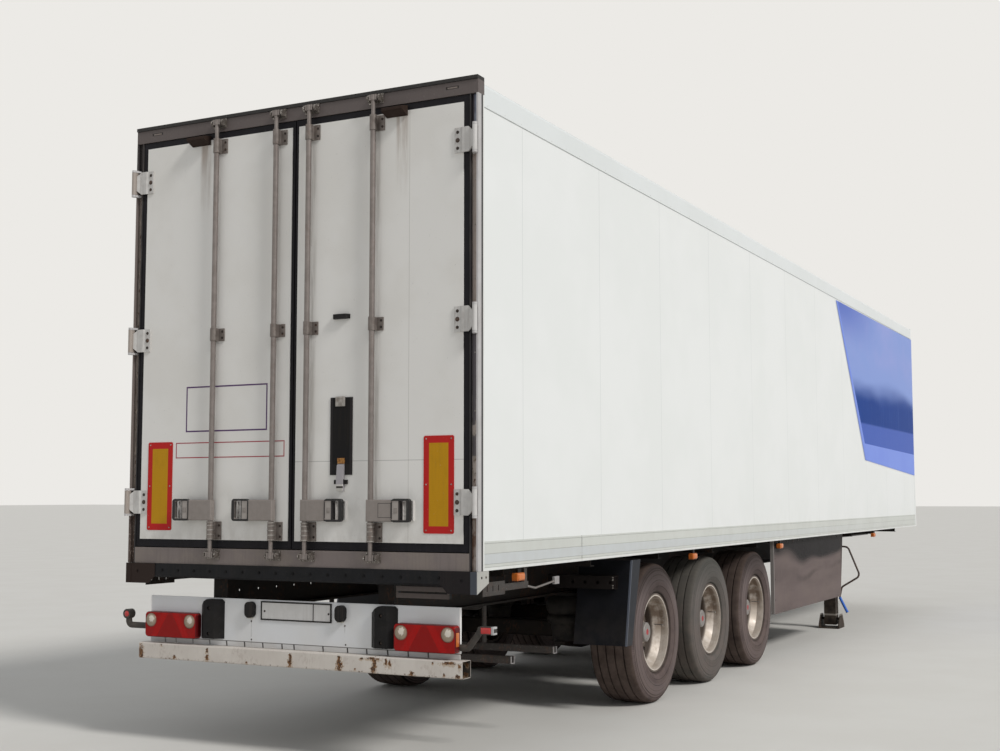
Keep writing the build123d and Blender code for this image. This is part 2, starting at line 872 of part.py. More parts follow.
def underrun_bar():
    y = (-bar_half, bar_half)
    front = bar_rear + bar_section
    tube = box((bar_rear, front), y, (bar_bottom, bar_bottom + bar_section))
    tube = fillet(tube.edges().filter_by(Axis.Y), bar_edge)
    bore = box((bar_rear + sheet, front - sheet), y, (bar_bottom + sheet, bar_bottom + bar_section - sheet))
    keep("underrun_bar", tube - bore)

    rear = board_rear + sheet
    arm = outline([(rear, board_crease), (rear, rail_bottom), (bracket_front, rail_bottom),
                   (bracket_front, bar_bottom + bracket_slope), (bracket_front - bracket_slope, bar_bottom),
                   (front, bar_bottom), (front, board_crease)])
    keep("bumper_brackets", *both(along_y(arm, (rail_y - bracket_width / 2, rail_y + bracket_width / 2))))


def lamps():
    """The rear lamps with the seats of their round lenses, and the lamps along the sides."""
    rear = board_rear - lamp_depth
    lamp = box((rear, board_rear), lamp_y, lamp_z)
    lamp = fillet(lamp.edges().filter_by(Axis.X), lamp_corner)
    lamp = fillet(lamp.edges().group_by(Axis.X)[0], lamp_edge)
    z = lamp_z[0] + lens_rise
    for y in (lamp_y[0] + lens_inset, lamp_y[1] - lens_inset):
        lamp -= rod((rear, y, z), (rear + lens_depth, y, z), lens_radius)
    pieces = both(lamp)

    length, depth, height = (size / 2 for size in side_lamp)
    stem_length, stem_depth = (size / 2 for size in side_lamp_stem)
    y = side_lamp_y
    for x in side_lamps:
        side = box((x - length, x + length), (y - depth, y + depth),
                   (side_lamp_top - 2 * height, side_lamp_top))
        side = fillet(side.edges().filter_by(Axis.Y), side_lamp_edge)
        side += box((x - stem_length, x + stem_length), (y - stem_depth, y + stem_depth),
                    (side_lamp_top, base_bottom))
        pieces += both(side)
    keep("lamps", *pieces)


def dock_buffers():
    """Two alike rubber blocks with chamfered sides, one top corner cut away and two bolt holes."""
    base, face, depth = dock_buffer
    low, high = dock_buffer_z
    rear = board_rear - depth
    plan = outline([(board_rear, -base / 2), (rear, -face / 2), (rear, face / 2), (board_rear, base / 2)])
    block = along_z(plan, (low, high))
    for end, (width, height) in ((1, dock_buffer_cut), (-1, dock_buffer_nick)):
        edge = end * base / 2
        corner = outline([(edge, high), (edge - end * width, high), (edge, high - height)])
        block -= along_x(corner, (rear, board_rear))
    seat, bolt, deep = dock_buffer_bore
    for rise in dock_buffer_bores:
        z = low + rise
        block -= rod((rear, 0, z), (rear + deep, 0, z), seat)
        block -= rod((rear, 0, z), (board_rear, 0, z), bolt)
    keep("dock_buffers", *[Pos(0, y, 0) * block for y in (-dock_buffer_y, dock_buffer_y)])


def plate_holder():
    rear = board_rear - plate_depth
    rib, rib_width = plate_rib
    holder = box((rear, board_rear), (-plate_half, plate_half), plate_z)
    for y in ((plate_rim - plate_half, rib - rib_width / 2), (rib + rib_width / 2, plate_half - plate_rim)):
        holder -= box((rear, rear + plate_recess), y, (plate_z[0] + plate_rim, plate_z[1] - plate_rim))
    width, height, depth = number_lamp
    face = Pos(number_lamp_y, number_lamp_z) * RectangleRounded(width, height, number_lamp_corner)
    lamp = along_x(face, (board_rear - depth, board_rear))
    keep("plate_holder", holder, *both(lamp))


def marker_arms():
    """Rubber arms out of the board's ends, each with its own head."""
    left = bent_rod([(arm_x, board_half + y, z) for y, z in arm_left_path], arm_radius, arm_left_bend)
    radius, length = arm_left_head
    y = arm_tip_y - radius
    z = arm_left_path[-1][1]
    head = rod((arm_x - length / 2, y, z), (arm_x + length / 2, y, z), radius)

    right = bent_rod([(arm_x, -board_half - y, z) for y, z in arm_right_path], arm_radius, arm_right_bend)
    width, height, depth = arm_right_head
    block = box((arm_x - depth / 2, arm_x + depth / 2), (-arm_tip_y, width - arm_tip_y),
                (arm_right_head_z - height / 2, arm_right_head_z + height / 2))
    block = fillet(block.edges().filter_by(Axis.X), arm_head_edge)
    keep("marker_arms", left + head, right + block)


def chassis():
    chassis_rails()
    cross_members()
    coupling()
    carrier()
    air_tanks()


def chassis_rails():
    """Two I-section rails that step up over the coupling, with a row of holes behind the wheels."""
    side = outline([(beam_front, rail_top), (beam_front, rail_bottom), (neck_start - neck_slope, rail_bottom),
                    (neck_start, neck_bottom), (rail_end, neck_bottom), (rail_end, rail_top)])
    inner_side = rail_y - rail_width / 2
    whole = along_y(side, (inner_side, rail_side))
    pocket = offset(side, -rail_flange)
    for low, high in ((inner_side, rail_y - rail_web / 2), (rail_y + rail_web / 2, rail_side)):
        whole -= along_y(pocket, (low, high))
    radius, first, pitch = web_hole
    z = (rail_top + rail_bottom) / 2
    for n in range(web_hole_count):
        x = first + n * pitch
        whole -= rod((x, rail_y - rail_web, z), (x, rail_y + rail_web, z), radius)
    keep("chassis_rails", *both(whole))


def cross_members():
    width = cross_member_width
    wall = cross_member_wall
    height = rail_bottom_flange_z - rail_top
    section = outline([(0, 0), (width, 0), (width, wall), (wall, wall),
                       (wall, height - wall), (width, height - wall), (width, height), (0, height)])
    members = []
    x = cross_member_first
    while x < rail_end - width:
        members.append(along_y(Pos(x, rail_top) * section, (-cross_member_half, cross_member_half)))
        x += cross_member_spacing
    keep("cross_members", *members)


def coupling():
    """The coupling plate under the neck and the kingpin through it."""
    low = neck_bottom - coupling_plate_thickness
    plate = box(coupling_plate_x, (-rail_side, rail_side), (low, neck_bottom))
    plate = fillet(plate.edges().filter_by(Axis.Z), coupling_plate_corner)
    hole = Pos(kingpin_x, 0, 0) * along_z(Circle(kingpin_collar[0] + seat_gap), (low, neck_bottom))
    keep("coupling_plate", plate - hole)

    z = low
    pin = along_z(Circle(kingpin_flange[0]), (neck_bottom, neck_bottom + kingpin_flange[1]))
    pin += along_z(Circle(kingpin_collar[0]), (low, neck_bottom))
    for radius, height in (kingpin_collar, kingpin_neck, kingpin_head):
        pin += along_z(Circle(radius), (z - height, z))
        z -= height
    keep("kingpin", Pos(kingpin_x, 0, 0) * pin)


def carrier():
    """Two open rails hung across under the chassis, and the slotted plates beside them."""
    thickness, lap = carrier_hanger
    low, high = carrier_z
    rails = []
    for x in carrier_x:
        rail = box((x, x + carrier_width), (-carrier_half, carrier_half), carrier_z)
        inside = (x + sheet, x + carrier_width - sheet)
        rail -= box(inside, (-carrier_half, carrier_half), (low + sheet, high))
        for y in (-rail_y - thickness / 2, rail_y - thickness / 2):
            rail += box((x, x + carrier_width), (y, y + thickness), (high - lap, rail_bottom))
        rails.append(rail)
    keep("carrier_rails", *rails, *both(slot_plate()))


def slot_plate():
    """A plate under the base rail with upright slots, and the pull lever out of its front end."""
    rear, step, front = slot_plate_x
    low, high_low, low_high, high = slot_plate_z
    face = outline([(rear, low), (step, low), (step, high_low), (front, high_low),
                    (front, low_high), (step, low_high), (step, high), (rear, high)])
    width, slot_low, slot_high = slot_plate_slot
    for x in slot_plate_slots:
        face -= Pos(x, (slot_low + slot_high) / 2) * Rectangle(width, slot_high - slot_low)
    y = (slot_plate_y - slot_plate_thickness, slot_plate_y)
    plate = along_y(face, y)
    for x, top in zip(slot_plate_hangers, (high, low_high)):
        plate += box((x, x + slot_plate_hanger_width), y, (top, base_bottom))
    middle = sum(y) / 2
    plate += bent_rod([(x, middle, z) for x, z in pull_lever_path], pull_lever_radius, 3 * pull_lever_radius)
    x0, x1, z0, z1 = pull_lever_grip
    return plate + box((x0, x1), (middle - pull_lever_radius, middle + pull_lever_radius), (z0, z1))


def air_tanks():
    length, width = tank_strap
    tanks = []
    for member in tank_members:
        x = cross_member_first + member * cross_member_spacing + cross_member_width / 2
        tank = rod((x, -tank_half_length, tank_z), (x, tank_half_length, tank_z), tank_radius)
        tank = fillet(tank.edges(), tank_edge)
        for y in (-tank_half_length / 2, tank_half_length / 2):
            tank += box((x - length / 2, x + length / 2), (y - width / 2, y + width / 2), (tank_z, rail_top))
        tanks.append(tank)
    keep("air_tanks", *tanks)


def tyre():
    half = tyre_width / 2
    bead = rim_width / 2 - rim_flange_width
    tread = tyre_radius - tyre_crown
    seat = rim_flange_radius + 1
    bulge = (seat + tread) / 2 - tyre_bulge
    low, knee, edge = ((tread - drop, half - inset) for drop, inset in tyre_shoulder)
    upper = [ThreePointArc(edge, (tyre_radius, 0), (edge[0], -edge[1]))]
    flank = [ThreePointArc((seat, bead), (bulge, half), low), ThreePointArc(low, knee, edge)]
    under = [mirror(curve, about=Plane.XZ) for curve in flank]
    profile = make_face([Line((seat, bead), (seat, -bead)), *flank, *upper, *under])
    return revolve(profile, Axis.Y)


def rim():
    """Rim, wheel disc, hub and brake disc, turned in one, outboard towards +Y."""
    half = rim_width / 2
    flange = rim_flange_radius
    lip = half - rim_flange_width
    seat = flange - rim_seat_drop
    well = flange - rim_well_drop
    inner_seat = seat - rim_wall
    inner_well = well - rim_wall
    barrel = turned([(seat, -lip), (flange, -lip), (flange, -half), (inner_seat, -half),
                     (inner_seat, 45 - half), (inner_well, 80 - half), (inner_well, half - 130),
                     (inner_seat, half - 60), (inner_seat, half), (flange, half), (flange, lip),
                     (seat, lip), (seat, half - 55), (well, half - 122), (well, 88 - half),
                     (seat, 52 - half)])
    inboard = disc_offset - disc_thickness
    cone = inner_well + 2
    disc = turned([(0, inboard), (0, disc_offset), (hub_radius + 30, disc_offset),
                   (cone, inboard - disc_thickness), (cone, inboard - 2 * disc_thickness),
                   (hub_radius + 24, inboard)])
    cap_end = disc_offset + hub_cap_length
    hub = turned([(0, disc_offset), (hub_radius - 20, disc_offset), (hub_radius - 45, disc_offset + 26),
                  (hub_cap_radius + 6, disc_offset + 30), (hub_cap_radius, cap_end),
                  (hub_cap_radius - 8, cap_end + 6), (0, cap_end + 6)])
    brake_y = brake_inboard - wheel_y
    bore = spindle_radius + spindle_gap
    carrier = turned([(bore, brake_y), (brake_radius, brake_y),
                      (brake_radius, brake_y + brake_thickness), (hub_neck_radius, brake_y + brake_thickness),
                      (hub_neck_radius, inboard), (bore, inboard)])
    return barrel + disc + hub + carrier


def wheels():
    for number, x in enumerate(axle_positions, 1):
        centre = Pos(x, wheel_y, tyre_radius)
        keep(f"tyre_{number}_left", centre * tyre())
        keep(f"wheel_{number}_left", centre * rim())
        keep(f"tyre_{number}_right", other_side(centre * tyre()))
        keep(f"wheel_{number}_right", other_side(centre * rim()))


def axles():
    z = tyre_radius
    solids = []
    shoulder = brake_inboard - brake_gap
    flange = shoulder - axle_flange
    spindle_end = wheel_y + disc_offset - disc_thickness - spindle_end_gap
    half = axle_tube / 2
    for x in axle_positions:
        beam = box((x - half, x + half), (-flange - 10, flange + 10), (z - half, z + half))
        beam = fillet(beam.edges().filter_by(Axis.Y), axle_edge)
        for side in (-1, 1):
            beam += rod((x, side * flange, z), (x, side * shoulder, z), axle_flange_radius)
            beam += rod((x, side * flange, z), (x, side * spindle_end, z), spindle_radius)
            beam += brake_calliper(x, side)
        solids.append(beam)
    keep("axles", *solids)


def brake_calliper(x, side):
    """A calliper that straddles the brake disc ahead of the axle, with its air chamber."""
    z = tyre_radius
    inner_wall, outer_wall = calliper_wall
    near, margin = calliper_x
    height = calliper_height
    inner_face = brake_inboard - brake_gap
    outer_face = brake_inboard + brake_thickness + brake_gap
    inner_end = inner_face - inner_wall
    front = x + brake_radius
    body = box((x + near, front + margin), (inner_end, outer_face + outer_wall), (z - height, z + height))
    body -= box((x, front + brake_gap), (inner_face, outer_face), (z - 2 * height, z + 2 * height))
    shoulder = height - 10
    body += box((x, x + near + inner_wall), (inner_end, inner_face), (z - shoulder, z + shoulder))
    x += chamber_ahead
    z += shoulder
    body += rod((x, inner_end + 4, z), (x, inner_end - chamber_length, z), chamber_radius)
    return body if side > 0 else other_side(body)


def suspension():
    hangers, arms, springs = [], [], []
    for x in axle_positions:
        hangers += both(hanger(x + hanger_ahead))
        arms += both(trailing_arm(x))
        springs += both(air_spring(x - spring_behind))
    keep("suspension_hangers", *hangers)
    keep("trailing_arms", *arms)
    keep("air_springs", *springs)


def hanger(pivot):
    """A fork under the rail, open to the rear, with the bore of the arm's pivot."""
    z = hanger_pivot_z
    y = (rail_y - arm_width / 2, rail_y + arm_width / 2)
    rear, front = hanger_foot
    cheek = outline([(pivot - rear, rail_bottom), (pivot - 55, z), (pivot - 30, z - 45),
                     (pivot + 30, z - 45), (pivot + 60, z), (pivot + front, rail_bottom)])
    fork = along_y(cheek, (y[0] - hanger_wall, y[1] + hanger_wall))
    slot = box((pivot - 130, pivot + 52), (y[0] - seat_gap, y[1] + seat_gap), (z - 60, z + 60))
    bore = rod((pivot, y[0] - 20, z), (pivot, y[1] + 20, z), stub_radius + seat_gap)
    return fork - slot - bore


def trailing_arm(x):
    """An arm from its pivot under the axle to the seat of the air spring."""
    pivot = x + hanger_ahead
    z = hanger_pivot_z
    y = (rail_y - arm_width / 2, rail_y + arm_width / 2)
    top = tyre_radius - axle_tube / 2
    low = top - arm_thick
    seat = spring_seat_z
    end = x - spring_behind - spring_seat
    arm = outline([(pivot - 6, z + 36), (x + 90, top), (x - 90, top), (x - 200, seat), (end, seat),
                   (end, seat - spring_seat_thickness), (x - 180, low), (x + 120, low), (pivot + 6, z - 38)])
    arm = along_y(arm + Pos(pivot, z) * Circle(arm_eye_radius), y)
    return arm + rod((pivot, y[0] - hanger_wall, z), (pivot, y[1] + hanger_wall, z), stub_radius)


def air_spring(x):
    """A rubber bellows that narrows to its piston, turned about its own upright axis."""
    low = spring_seat_z
    height = rail_bottom - low
    top = spring_radius - 35
    piston = spring_radius - 50
    knee = (top, height - 235)
    bellows = make_face([
        Line((0, 0), (0, height)), Line((0, height), (top, height)), Line((top, height), (top, height - 20)),
        ThreePointArc((top, height - 20), (spring_radius, height - 85), (spring_radius - 25, height - 160)),
        ThreePointArc((spring_radius - 25, height - 160), (spring_radius - 6, height - 205), knee),
        Line(knee, (piston, 0)), Line((piston, 0), (0, 0)),
    ])
    bellows = Plane(origin=(x, rail_y, low), x_dir=(1, 0, 0), z_dir=(0, -1, 0)) * bellows
    return revolve(bellows, Axis((x, rail_y, low), (0, 0, 1)))


def landing_gear():
    """Two telescopic legs on sand shoes, their gearboxes joined by a cross shaft."""
    outer, inner = leg_outer / 2, leg_inner / 2
    side = leg_y - outer
    leg = box((leg_x - outer, leg_x + outer), (side, leg_y + outer), (leg_bottom_tube, rail_top))
    leg = fillet(leg.edges().filter_by(Axis.Z), leg_edge)
    leg += box((leg_x - inner, leg_x + inner), (leg_y - inner, leg_y + inner), (leg_bottom, leg_bottom_tube))
    length, depth = gearbox
    leg += box((leg_x - length / 2, leg_x + length / 2), (side - depth, side), gearbox_z)
    low, high, rise = brace_z
    brace = outline([(rail_side, neck_bottom), (side, low), (side, high), (rail_side, neck_bottom + rise)])
    leg += along_x(brace, (leg_x - brace_thickness / 2, leg_x + brace_thickness / 2))

    seat = side - depth + cross_shaft_seat
    z = cross_shaft_z
    leg -= rod((leg_x, rail_side, z), (leg_x, side - depth, z), cross_shaft_radius + cross_shaft_clearance)
    leg -= rod((leg_x, side - depth, z), (leg_x, seat, z), cross_shaft_radius + seat_gap)
    shaft = rod((leg_x, seat_gap - seat, z), (leg_x, seat - seat_gap, z), cross_shaft_radius)
    keep("landing_legs", *both(leg + sand_shoe()), shaft)


def sand_shoe():
    """A bottom plate with two upright walls, and the pin that carries the leg between them."""
    length, width, thick = shoe_size
    half = length / 2
    shoe = box((leg_x - half, leg_x + half), (leg_y - width / 2, leg_y + width / 2), (0, thick))
    top = shoe_top / 2
    wall = outline([(leg_x - half, thick), (leg_x + half, thick), (leg_x + half, 3 * thick),
                    (leg_x + top, shoe_height), (leg_x - top, shoe_height), (leg_x - half, 3 * thick)])
    for y in (leg_y - width / 2, leg_y + width / 2 - shoe_wall):
        shoe += along_y(wall, (y, y + shoe_wall))
    radius, height = shoe_pin
    return shoe + rod((leg_x, leg_y - width / 2, height), (leg_x, leg_y + width / 2, height), radius)


def crank():
    """The crank on the right leg, folded down beside the panel, with its grip."""
    start = leg_y + leg_outer / 2 + seat_gap
    points = [(leg_x, -start - crank_root, crank_height)]
    points += [(leg_x, -leg_y - reach, z) for reach, z in crank_path]
    handle = bent_rod(points, crank_rod, crank_bend)
    boss_radius, boss_length = crank_boss
    handle += rod((leg_x, -start, crank_height), (leg_x, -start - boss_length, crank_height), boss_radius)
    handle += rod(points[-2], points[-1], crank_grip_radius)
    keep("crank_handle", handle)


def side_panels():
    """Folded panels between the wheels and the legs, hung on upright straps."""
    top = base_bottom
    rear, low = panel_rear, panel_bottom
    face = outline([(rear, low), (panel_front_bottom, low), (panel_front_top, top), (rear, top)])
    fold = 1.5 * sheet
    inner = outline([(rear + sheet, low + sheet), (panel_front_bottom - fold, low + sheet),
                     (panel_front_top - fold, top), (rear + sheet, top)])
    inside = panel_y - panel_depth
    panel = along_y(face, (inside, panel_y)) - along_y(inner, (inside, panel_y - sheet))
    width, depth, rise = panel_hanger
    first = panel_rear + panel_hanger_ends[0]
    pitch = (panel_front_bottom - panel_hanger_ends[1] - first) / (panel_hanger_count - 1)
    for n in range(panel_hanger_count):
        x = first + n * pitch - width / 2
        panel += box((x, x + width), (inside - depth, panel_y - sheet), (low + rise, rail_top))
    keep("side_panels", *both(panel))


def mud_flaps():
    """Flaps that lean in under the body, each with an outer cheek and a channel to the rail."""
    low, high = flap_z
    top_x, bottom_x = (tyre_rear - behind for behind in flap_behind)
    top_cheek, bottom_cheek = flap_cheek
    thick = flap_thickness
    leaning = outline([(top_x, high), (bottom_x, low), (bottom_x + thick, low), (top_x + thick, high)])
    cheek = outline([(top_x, high), (bottom_x, low), (bottom_x + bottom_cheek, low), (top_x + top_cheek, high)])
    flap = along_y(leaning, flap_y) + along_y(cheek, (flap_y[1] - flap_cheek_thickness, flap_y[1]))

    bottom, top = flap_channel_z
    rear = tyre_rear - flap_channel_behind
    near, far = (bottom_x + (top_x - bottom_x) * (z - low) / (high - low) for z in flap_channel_z)
    outer = outline([(rear, bottom), (near, bottom), (far, top), (rear, top)])
    inner = outline([(rear + sheet, bottom + sheet), (near, bottom + sheet),
                     (far, top - sheet), (rear + sheet, top - sheet)])
    reach = (rail_y + rail_web / 2, flap_y[1] - flap_channel_outer)
    channel = along_y(outer, reach) - along_y(inner, reach)
    radius, z = flap_channel_hole
    for y in flap_channel_holes:
        channel -= rod((rear - 1, y, z), (rear + sheet + 1, y, z), radius)
    keep("mud_flaps", *both(flap + channel))


def refrigeration_unit():
    """The unit on the front wall, with two slatted grilles in its face."""
    unit = box((body_length, body_length + unit_depth), (-unit_half, unit_half), unit_z)
    unit = fillet(unit.edges().filter_by(Axis.Z).group_by(Axis.X)[-1], unit_radius)
    unit = fillet(unit.edges().group_by(Axis.X)[-1], unit_edge)
    face = body_length + unit_depth
    back = face - unit_grille_depth
    front = face - unit_slat_setback
    y = (unit_grille_inset - unit_half, unit_half - unit_grille_inset)
    pitch, thickness, fall = unit_slat
    for low, high in unit_grilles:
        z = (unit_z[0] + low, unit_z[0] + high)
        unit -= box((back, face), y, z)
        slats = int((z[1] - z[0]) / pitch) - 1
        for n in range(slats):
            top = z[0] + (n + 1.5) * pitch
            slat = outline([(back, top), (front, top - fall), (front, top - fall - thickness),
                            (back, top - thickness)])
            unit += along_y(slat, y)
    keep("refrigeration_unit", unit)


def main():
    box_body()
    rear_frame()
    doors()
    bumper()
    chassis()
    wheels()
    axles()
    suspension()
    landing_gear()
    crank()
    side_panels()
    mud_flaps()
    refrigeration_unit()
    os.makedirs("parts", exist_ok=True)
    for name, solids in nodes.items():
        export_step(Compound(children=solids), f"parts/{name}.step")


main()
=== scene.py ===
"""Looks of a refrigerated box semi trailer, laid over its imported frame.

Places are measured in millimetres from the doors' outer face: X forward, Y to the trailer's
left and Z up from the ground. Meshes are turned to metres in the part's own frame.
"""
import sys
import logging
import math
from dataclasses import dataclass, field
from enum import Enum
from itertools import product
from statistics import NormalDist
from typing import Iterable

import bmesh
import bpy
from mathutils import Matrix, Vector


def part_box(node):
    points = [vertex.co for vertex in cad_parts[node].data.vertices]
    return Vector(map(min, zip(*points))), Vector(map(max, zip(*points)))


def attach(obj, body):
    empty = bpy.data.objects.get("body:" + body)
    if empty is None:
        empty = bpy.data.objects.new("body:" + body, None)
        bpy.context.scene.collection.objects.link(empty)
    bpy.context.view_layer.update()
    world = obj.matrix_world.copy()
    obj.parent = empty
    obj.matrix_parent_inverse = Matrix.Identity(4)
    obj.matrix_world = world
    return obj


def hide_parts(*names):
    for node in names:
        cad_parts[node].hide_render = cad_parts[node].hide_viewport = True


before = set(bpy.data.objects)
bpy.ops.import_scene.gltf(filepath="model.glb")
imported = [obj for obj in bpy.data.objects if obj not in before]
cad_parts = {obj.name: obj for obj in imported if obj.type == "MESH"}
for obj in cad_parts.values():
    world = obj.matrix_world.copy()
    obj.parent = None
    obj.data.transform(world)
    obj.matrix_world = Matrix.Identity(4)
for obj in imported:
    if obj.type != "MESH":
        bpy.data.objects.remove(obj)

log = logging.getLogger("trailer")

Spot = tuple[float, float, float]
Flat = tuple[float, float]
Blot = tuple[float, float, float, float]
Socket = bpy.types.NodeSocket
Sockets = bpy.types.bpy_prop_collection
Material = bpy.types.Material

MATH = "ShaderNodeMath"
VECTOR_MATH = "ShaderNodeVectorMath"
SEPARATE = "ShaderNodeSeparateXYZ"
COMBINE = "ShaderNodeCombineXYZ"
MIX = "ShaderNodeMix"

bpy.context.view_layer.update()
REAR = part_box("door_left")[0].x

REARWARD: Spot = (-1, 0, 0)
NOISE_ROUGHNESS = 0.6
NOISE_SPREAD = 0.09  # standard deviation of the noise about its middle
NOISE_MIDDLE = 0.5
NOTCH_SHARE = 0.3  # part of each step round a tyre's shoulder that is cut away
STUDIO_SPECULAR = 0.18


class Axis(Enum):
    """The axes of the trailer."""

    X = 0
    Y = 1
    Z = 2


class Side(Enum):
    """The sides of the trailer, each with its sign of Y."""

    LEFT = 1
    RIGHT = -1

    @property
    def label(self) -> str:
        """The side's name as the bodies and nodes spell it."""
        return self.name.lower()


class Head(Enum):
    """Fastener heads: sides, head radius, head height and washer radius in mm."""

    BOLT = (6, 8.5, 6.0, 12.0)
    NUT = (6, 16.0, 20.0, 22.0)
    RIVET = (12, 4.5, 2.2, 0.5)
    SCREW = (10, 5.5, 2.5, 0.5)


def linear(tone: str) -> tuple[float, float, float, float]:
    """Turns an sRGB hex colour to linear light.

    Args:
        tone: Colour such as "#c8c4bb".

    Returns:
        Red, green, blue and an alpha of 1.
    """
    values = [int(tone[i:i + 2], 16) / 255 for i in (1, 3, 5)]
    return (*(v / 12.92 if v <= 0.04045 else ((v + 0.055) / 1.055) ** 2.4 for v in values), 1.0)


def add(tree: bpy.types.NodeTree, kind: str, inputs: dict | None = None, **settings) -> Sockets:
    """Adds a node, sets its options, then sets or links its inputs.

    Args:
        tree: Tree that gets the node.
        kind: The node's type name.
        inputs: Values, sockets or lists of sockets by input name or number.
        **settings: Options of the node itself.

    Returns:
        The new node's outputs.
    """
    node = tree.nodes.new(kind)
    for key, value in settings.items():
        setattr(node, key, value)
    for key, value in (inputs or {}).items():
        links = value if isinstance(value, list) else [value]
        if not isinstance(links[0], Socket):
            node.inputs[key].default_value = value
            continue
        for link in links:
            tree.links.new(link, node.inputs[key])
    return node.outputs


def metres(place: Spot) -> Vector:
    """Turns a measured place in mm to the part's frame in metres."""
    return Vector((REAR + place[0] / 1000, place[1] / 1000, place[2] / 1000))


# ---- Materials


class Surface:
    """A material in the making: colour, gloss and relief gather coat by coat."""

    def __init__(self, name: str, tone: str, roughness: float, metallic: float = 0.0) -> None:
        """Starts from the bare stuff.

        Args:
            name: The material's name.
            tone: Its own colour.
            roughness: Its own roughness.
            metallic: 1 for bare metal.
        """
        self.material = bpy.data.materials.new(name)
        self.material.use_nodes = True
        self.tree = self.material.node_tree
        self.tree.nodes.clear()
        coordinates = add(self.tree, "ShaderNodeTexCoord")
        self.place = coordinates["Object"]
        self.skin = coordinates["UV"]
        self.colour = linear(tone)
        self.roughness = roughness
        self.metallic = metallic
        self.normal = None
        self.axes = add(self.tree, SEPARATE, {0: self.place})
        self.x, self.y, self.z = self.axes
        self.across = add(self.tree, MATH, {0: self.y}, operation="ABSOLUTE")[0]
        self.folded = add(self.tree, COMBINE, {0: self.x, 1: self.across, 2: self.z})[0]

    def joined(self, operation: str, masks: tuple[Socket | float, ...]) -> Socket:
        """Joins masks one after another with a node of the given operation each."""
        result = masks[0]
        for mask in masks[1:]:
            result = add(self.tree, MATH, {0: result, 1: mask}, operation=operation)[0]
        return result

    def both(self, *masks: Socket | float) -> Socket:
        """A mask of where every given mask is 1."""
        return self.joined("MULTIPLY", masks)

    def either(self, *masks: Socket | float) -> Socket:
        """A mask of where any given mask is 1."""
        return self.joined("MAXIMUM", masks)

    def beyond(self, mask: Socket) -> Socket:
        """A mask of where the given one is 0."""
        return add(self.tree, MATH, {0: 1.0, 1: mask}, operation="SUBTRACT")[0]

    def away(self, axis: Axis, place_mm: float) -> Socket:
        """Distance from a measured place along an axis, in metres."""
        where = place_mm / 1000 + (REAR if axis is Axis.X else 0.0)
        return self.gap(self.axes[axis.value], where)

    def gap(self, value: Socket, place: float) -> Socket:
        """How far a value is from a given one."""
        signed = add(self.tree, MATH, {0: value, 1: place}, operation="SUBTRACT")[0]
        return add(self.tree, MATH, {0: signed}, operation="ABSOLUTE")[0]

    def fade(self, value: Socket, start: float, end: float) -> Socket:
        """Turns a value to a soft mask that is 0 at start and 1 at end."""
        return add(self.tree, "ShaderNodeMapRange", {0: value, 1: start, 2: end},
                   interpolation_type="SMOOTHSTEP")[0]

    def cloud(self, size_mm: float, stretch: Spot = (1, 1, 1), detail: float = 3.0) -> Socket:
        """A random field whose patches are about the given size.

        Args:
            size_mm: Width of a patch.
            stretch: How much longer a patch is along each axis.
            detail: Octaves of finer patches.
        """
        shrink = tuple(1 / s for s in stretch)
        vector = add(self.tree, VECTOR_MATH, {0: self.place, 1: shrink}, operation="MULTIPLY")[0]
        return add(self.tree, "ShaderNodeTexNoise",
                   {"Vector": vector, "Scale": 1000 / size_mm, "Detail": detail,
                    "Roughness": NOISE_ROUGHNESS})[0]

    def patches(self, size_mm: float, share: float, soft: float,
                stretch: Spot = (1, 1, 1), detail: float = 3.0) -> Socket:
        """A mask of random patches.

        Args:
            size_mm: Width of a patch.
            share: Part of the surface that they cover.
            soft: Half the width of an edge, in the noise's values.
            stretch: How much longer a patch is along each axis.
            detail: Octaves of finer patches.
        """
        edge = NOISE_MIDDLE + NOISE_SPREAD * NormalDist().inv_cdf(1 - share)
        return self.fade(self.cloud(size_mm, stretch, detail), edge - soft, edge + soft)

    def within(self, low: Spot, high: Spot, soft_mm: float = 1.0) -> Socket:
        """A mask of a measured box, the same on both sides of the trailer.

        Args:
            low: Lowest corner in mm, with Y as its distance from the middle.
            high: Highest corner.
            soft_mm: Width of the edge.
        """
        return self.inside(self.folded, metres(low), metres(high), soft_mm)

    def rim(self, low: Spot, high: Spot, near: float, far: float, edge: float) -> Socket:
        """A mask of the border of a measured box, as seen along X.

        Args:
            low: Lowest corner in mm, with Y as its distance from the middle.
            high: Highest corner.
            near: Width of the border nearest the middle.
            far: Width of the border farthest from it.
            edge: Width of the upper and lower borders.
        """
        hole = self.within((low[0] - 1, low[1] + near, low[2] + edge),
                           (high[0] + 1, high[1] - far, high[2] - edge))
        return self.both(self.within(low, high), self.beyond(hole))

    def blots(self, spots: tuple[Blot, ...], ragged: float) -> Socket:
        """A mask of ragged spots on the faces that look to the rear.

        Args:
            spots: Y, Z, half width and half height of each in mm.
            ragged: How far an outline strays, as a part of the spot's size.
        """
        stray = add(self.tree, MATH, {0: self.cloud(11, detail=5), 1: 0.5}, operation="SUBTRACT")[0]
        stray = self.both(stray, 4 * ragged)
        mask: Socket | float = 0.0
        for y, z, wide, high in spots:
            off = add(self.tree, VECTOR_MATH, {0: self.place, 1: (0, y / 1000, z / 1000)},
                      operation="SUBTRACT")[0]
            off = add(self.tree, VECTOR_MATH, {0: off, 1: (0, 1000 / wide, 1000 / high)},
                      operation="MULTIPLY")[0]
            far = add(self.tree, VECTOR_MATH, {0: off}, operation="LENGTH")["Value"]
            reach = add(self.tree, MATH, {0: far, 1: stray}, operation="ADD")[0]
            mask = self.either(mask, self.fade(reach, 1.15, 0.8))
        return mask

    def region(self, low: Spot, high: Spot, soft_mm: float = 1.0) -> Socket:
        """A mask of a measured box on one side only."""
        return self.inside(self.place, metres(low), metres(high), soft_mm)

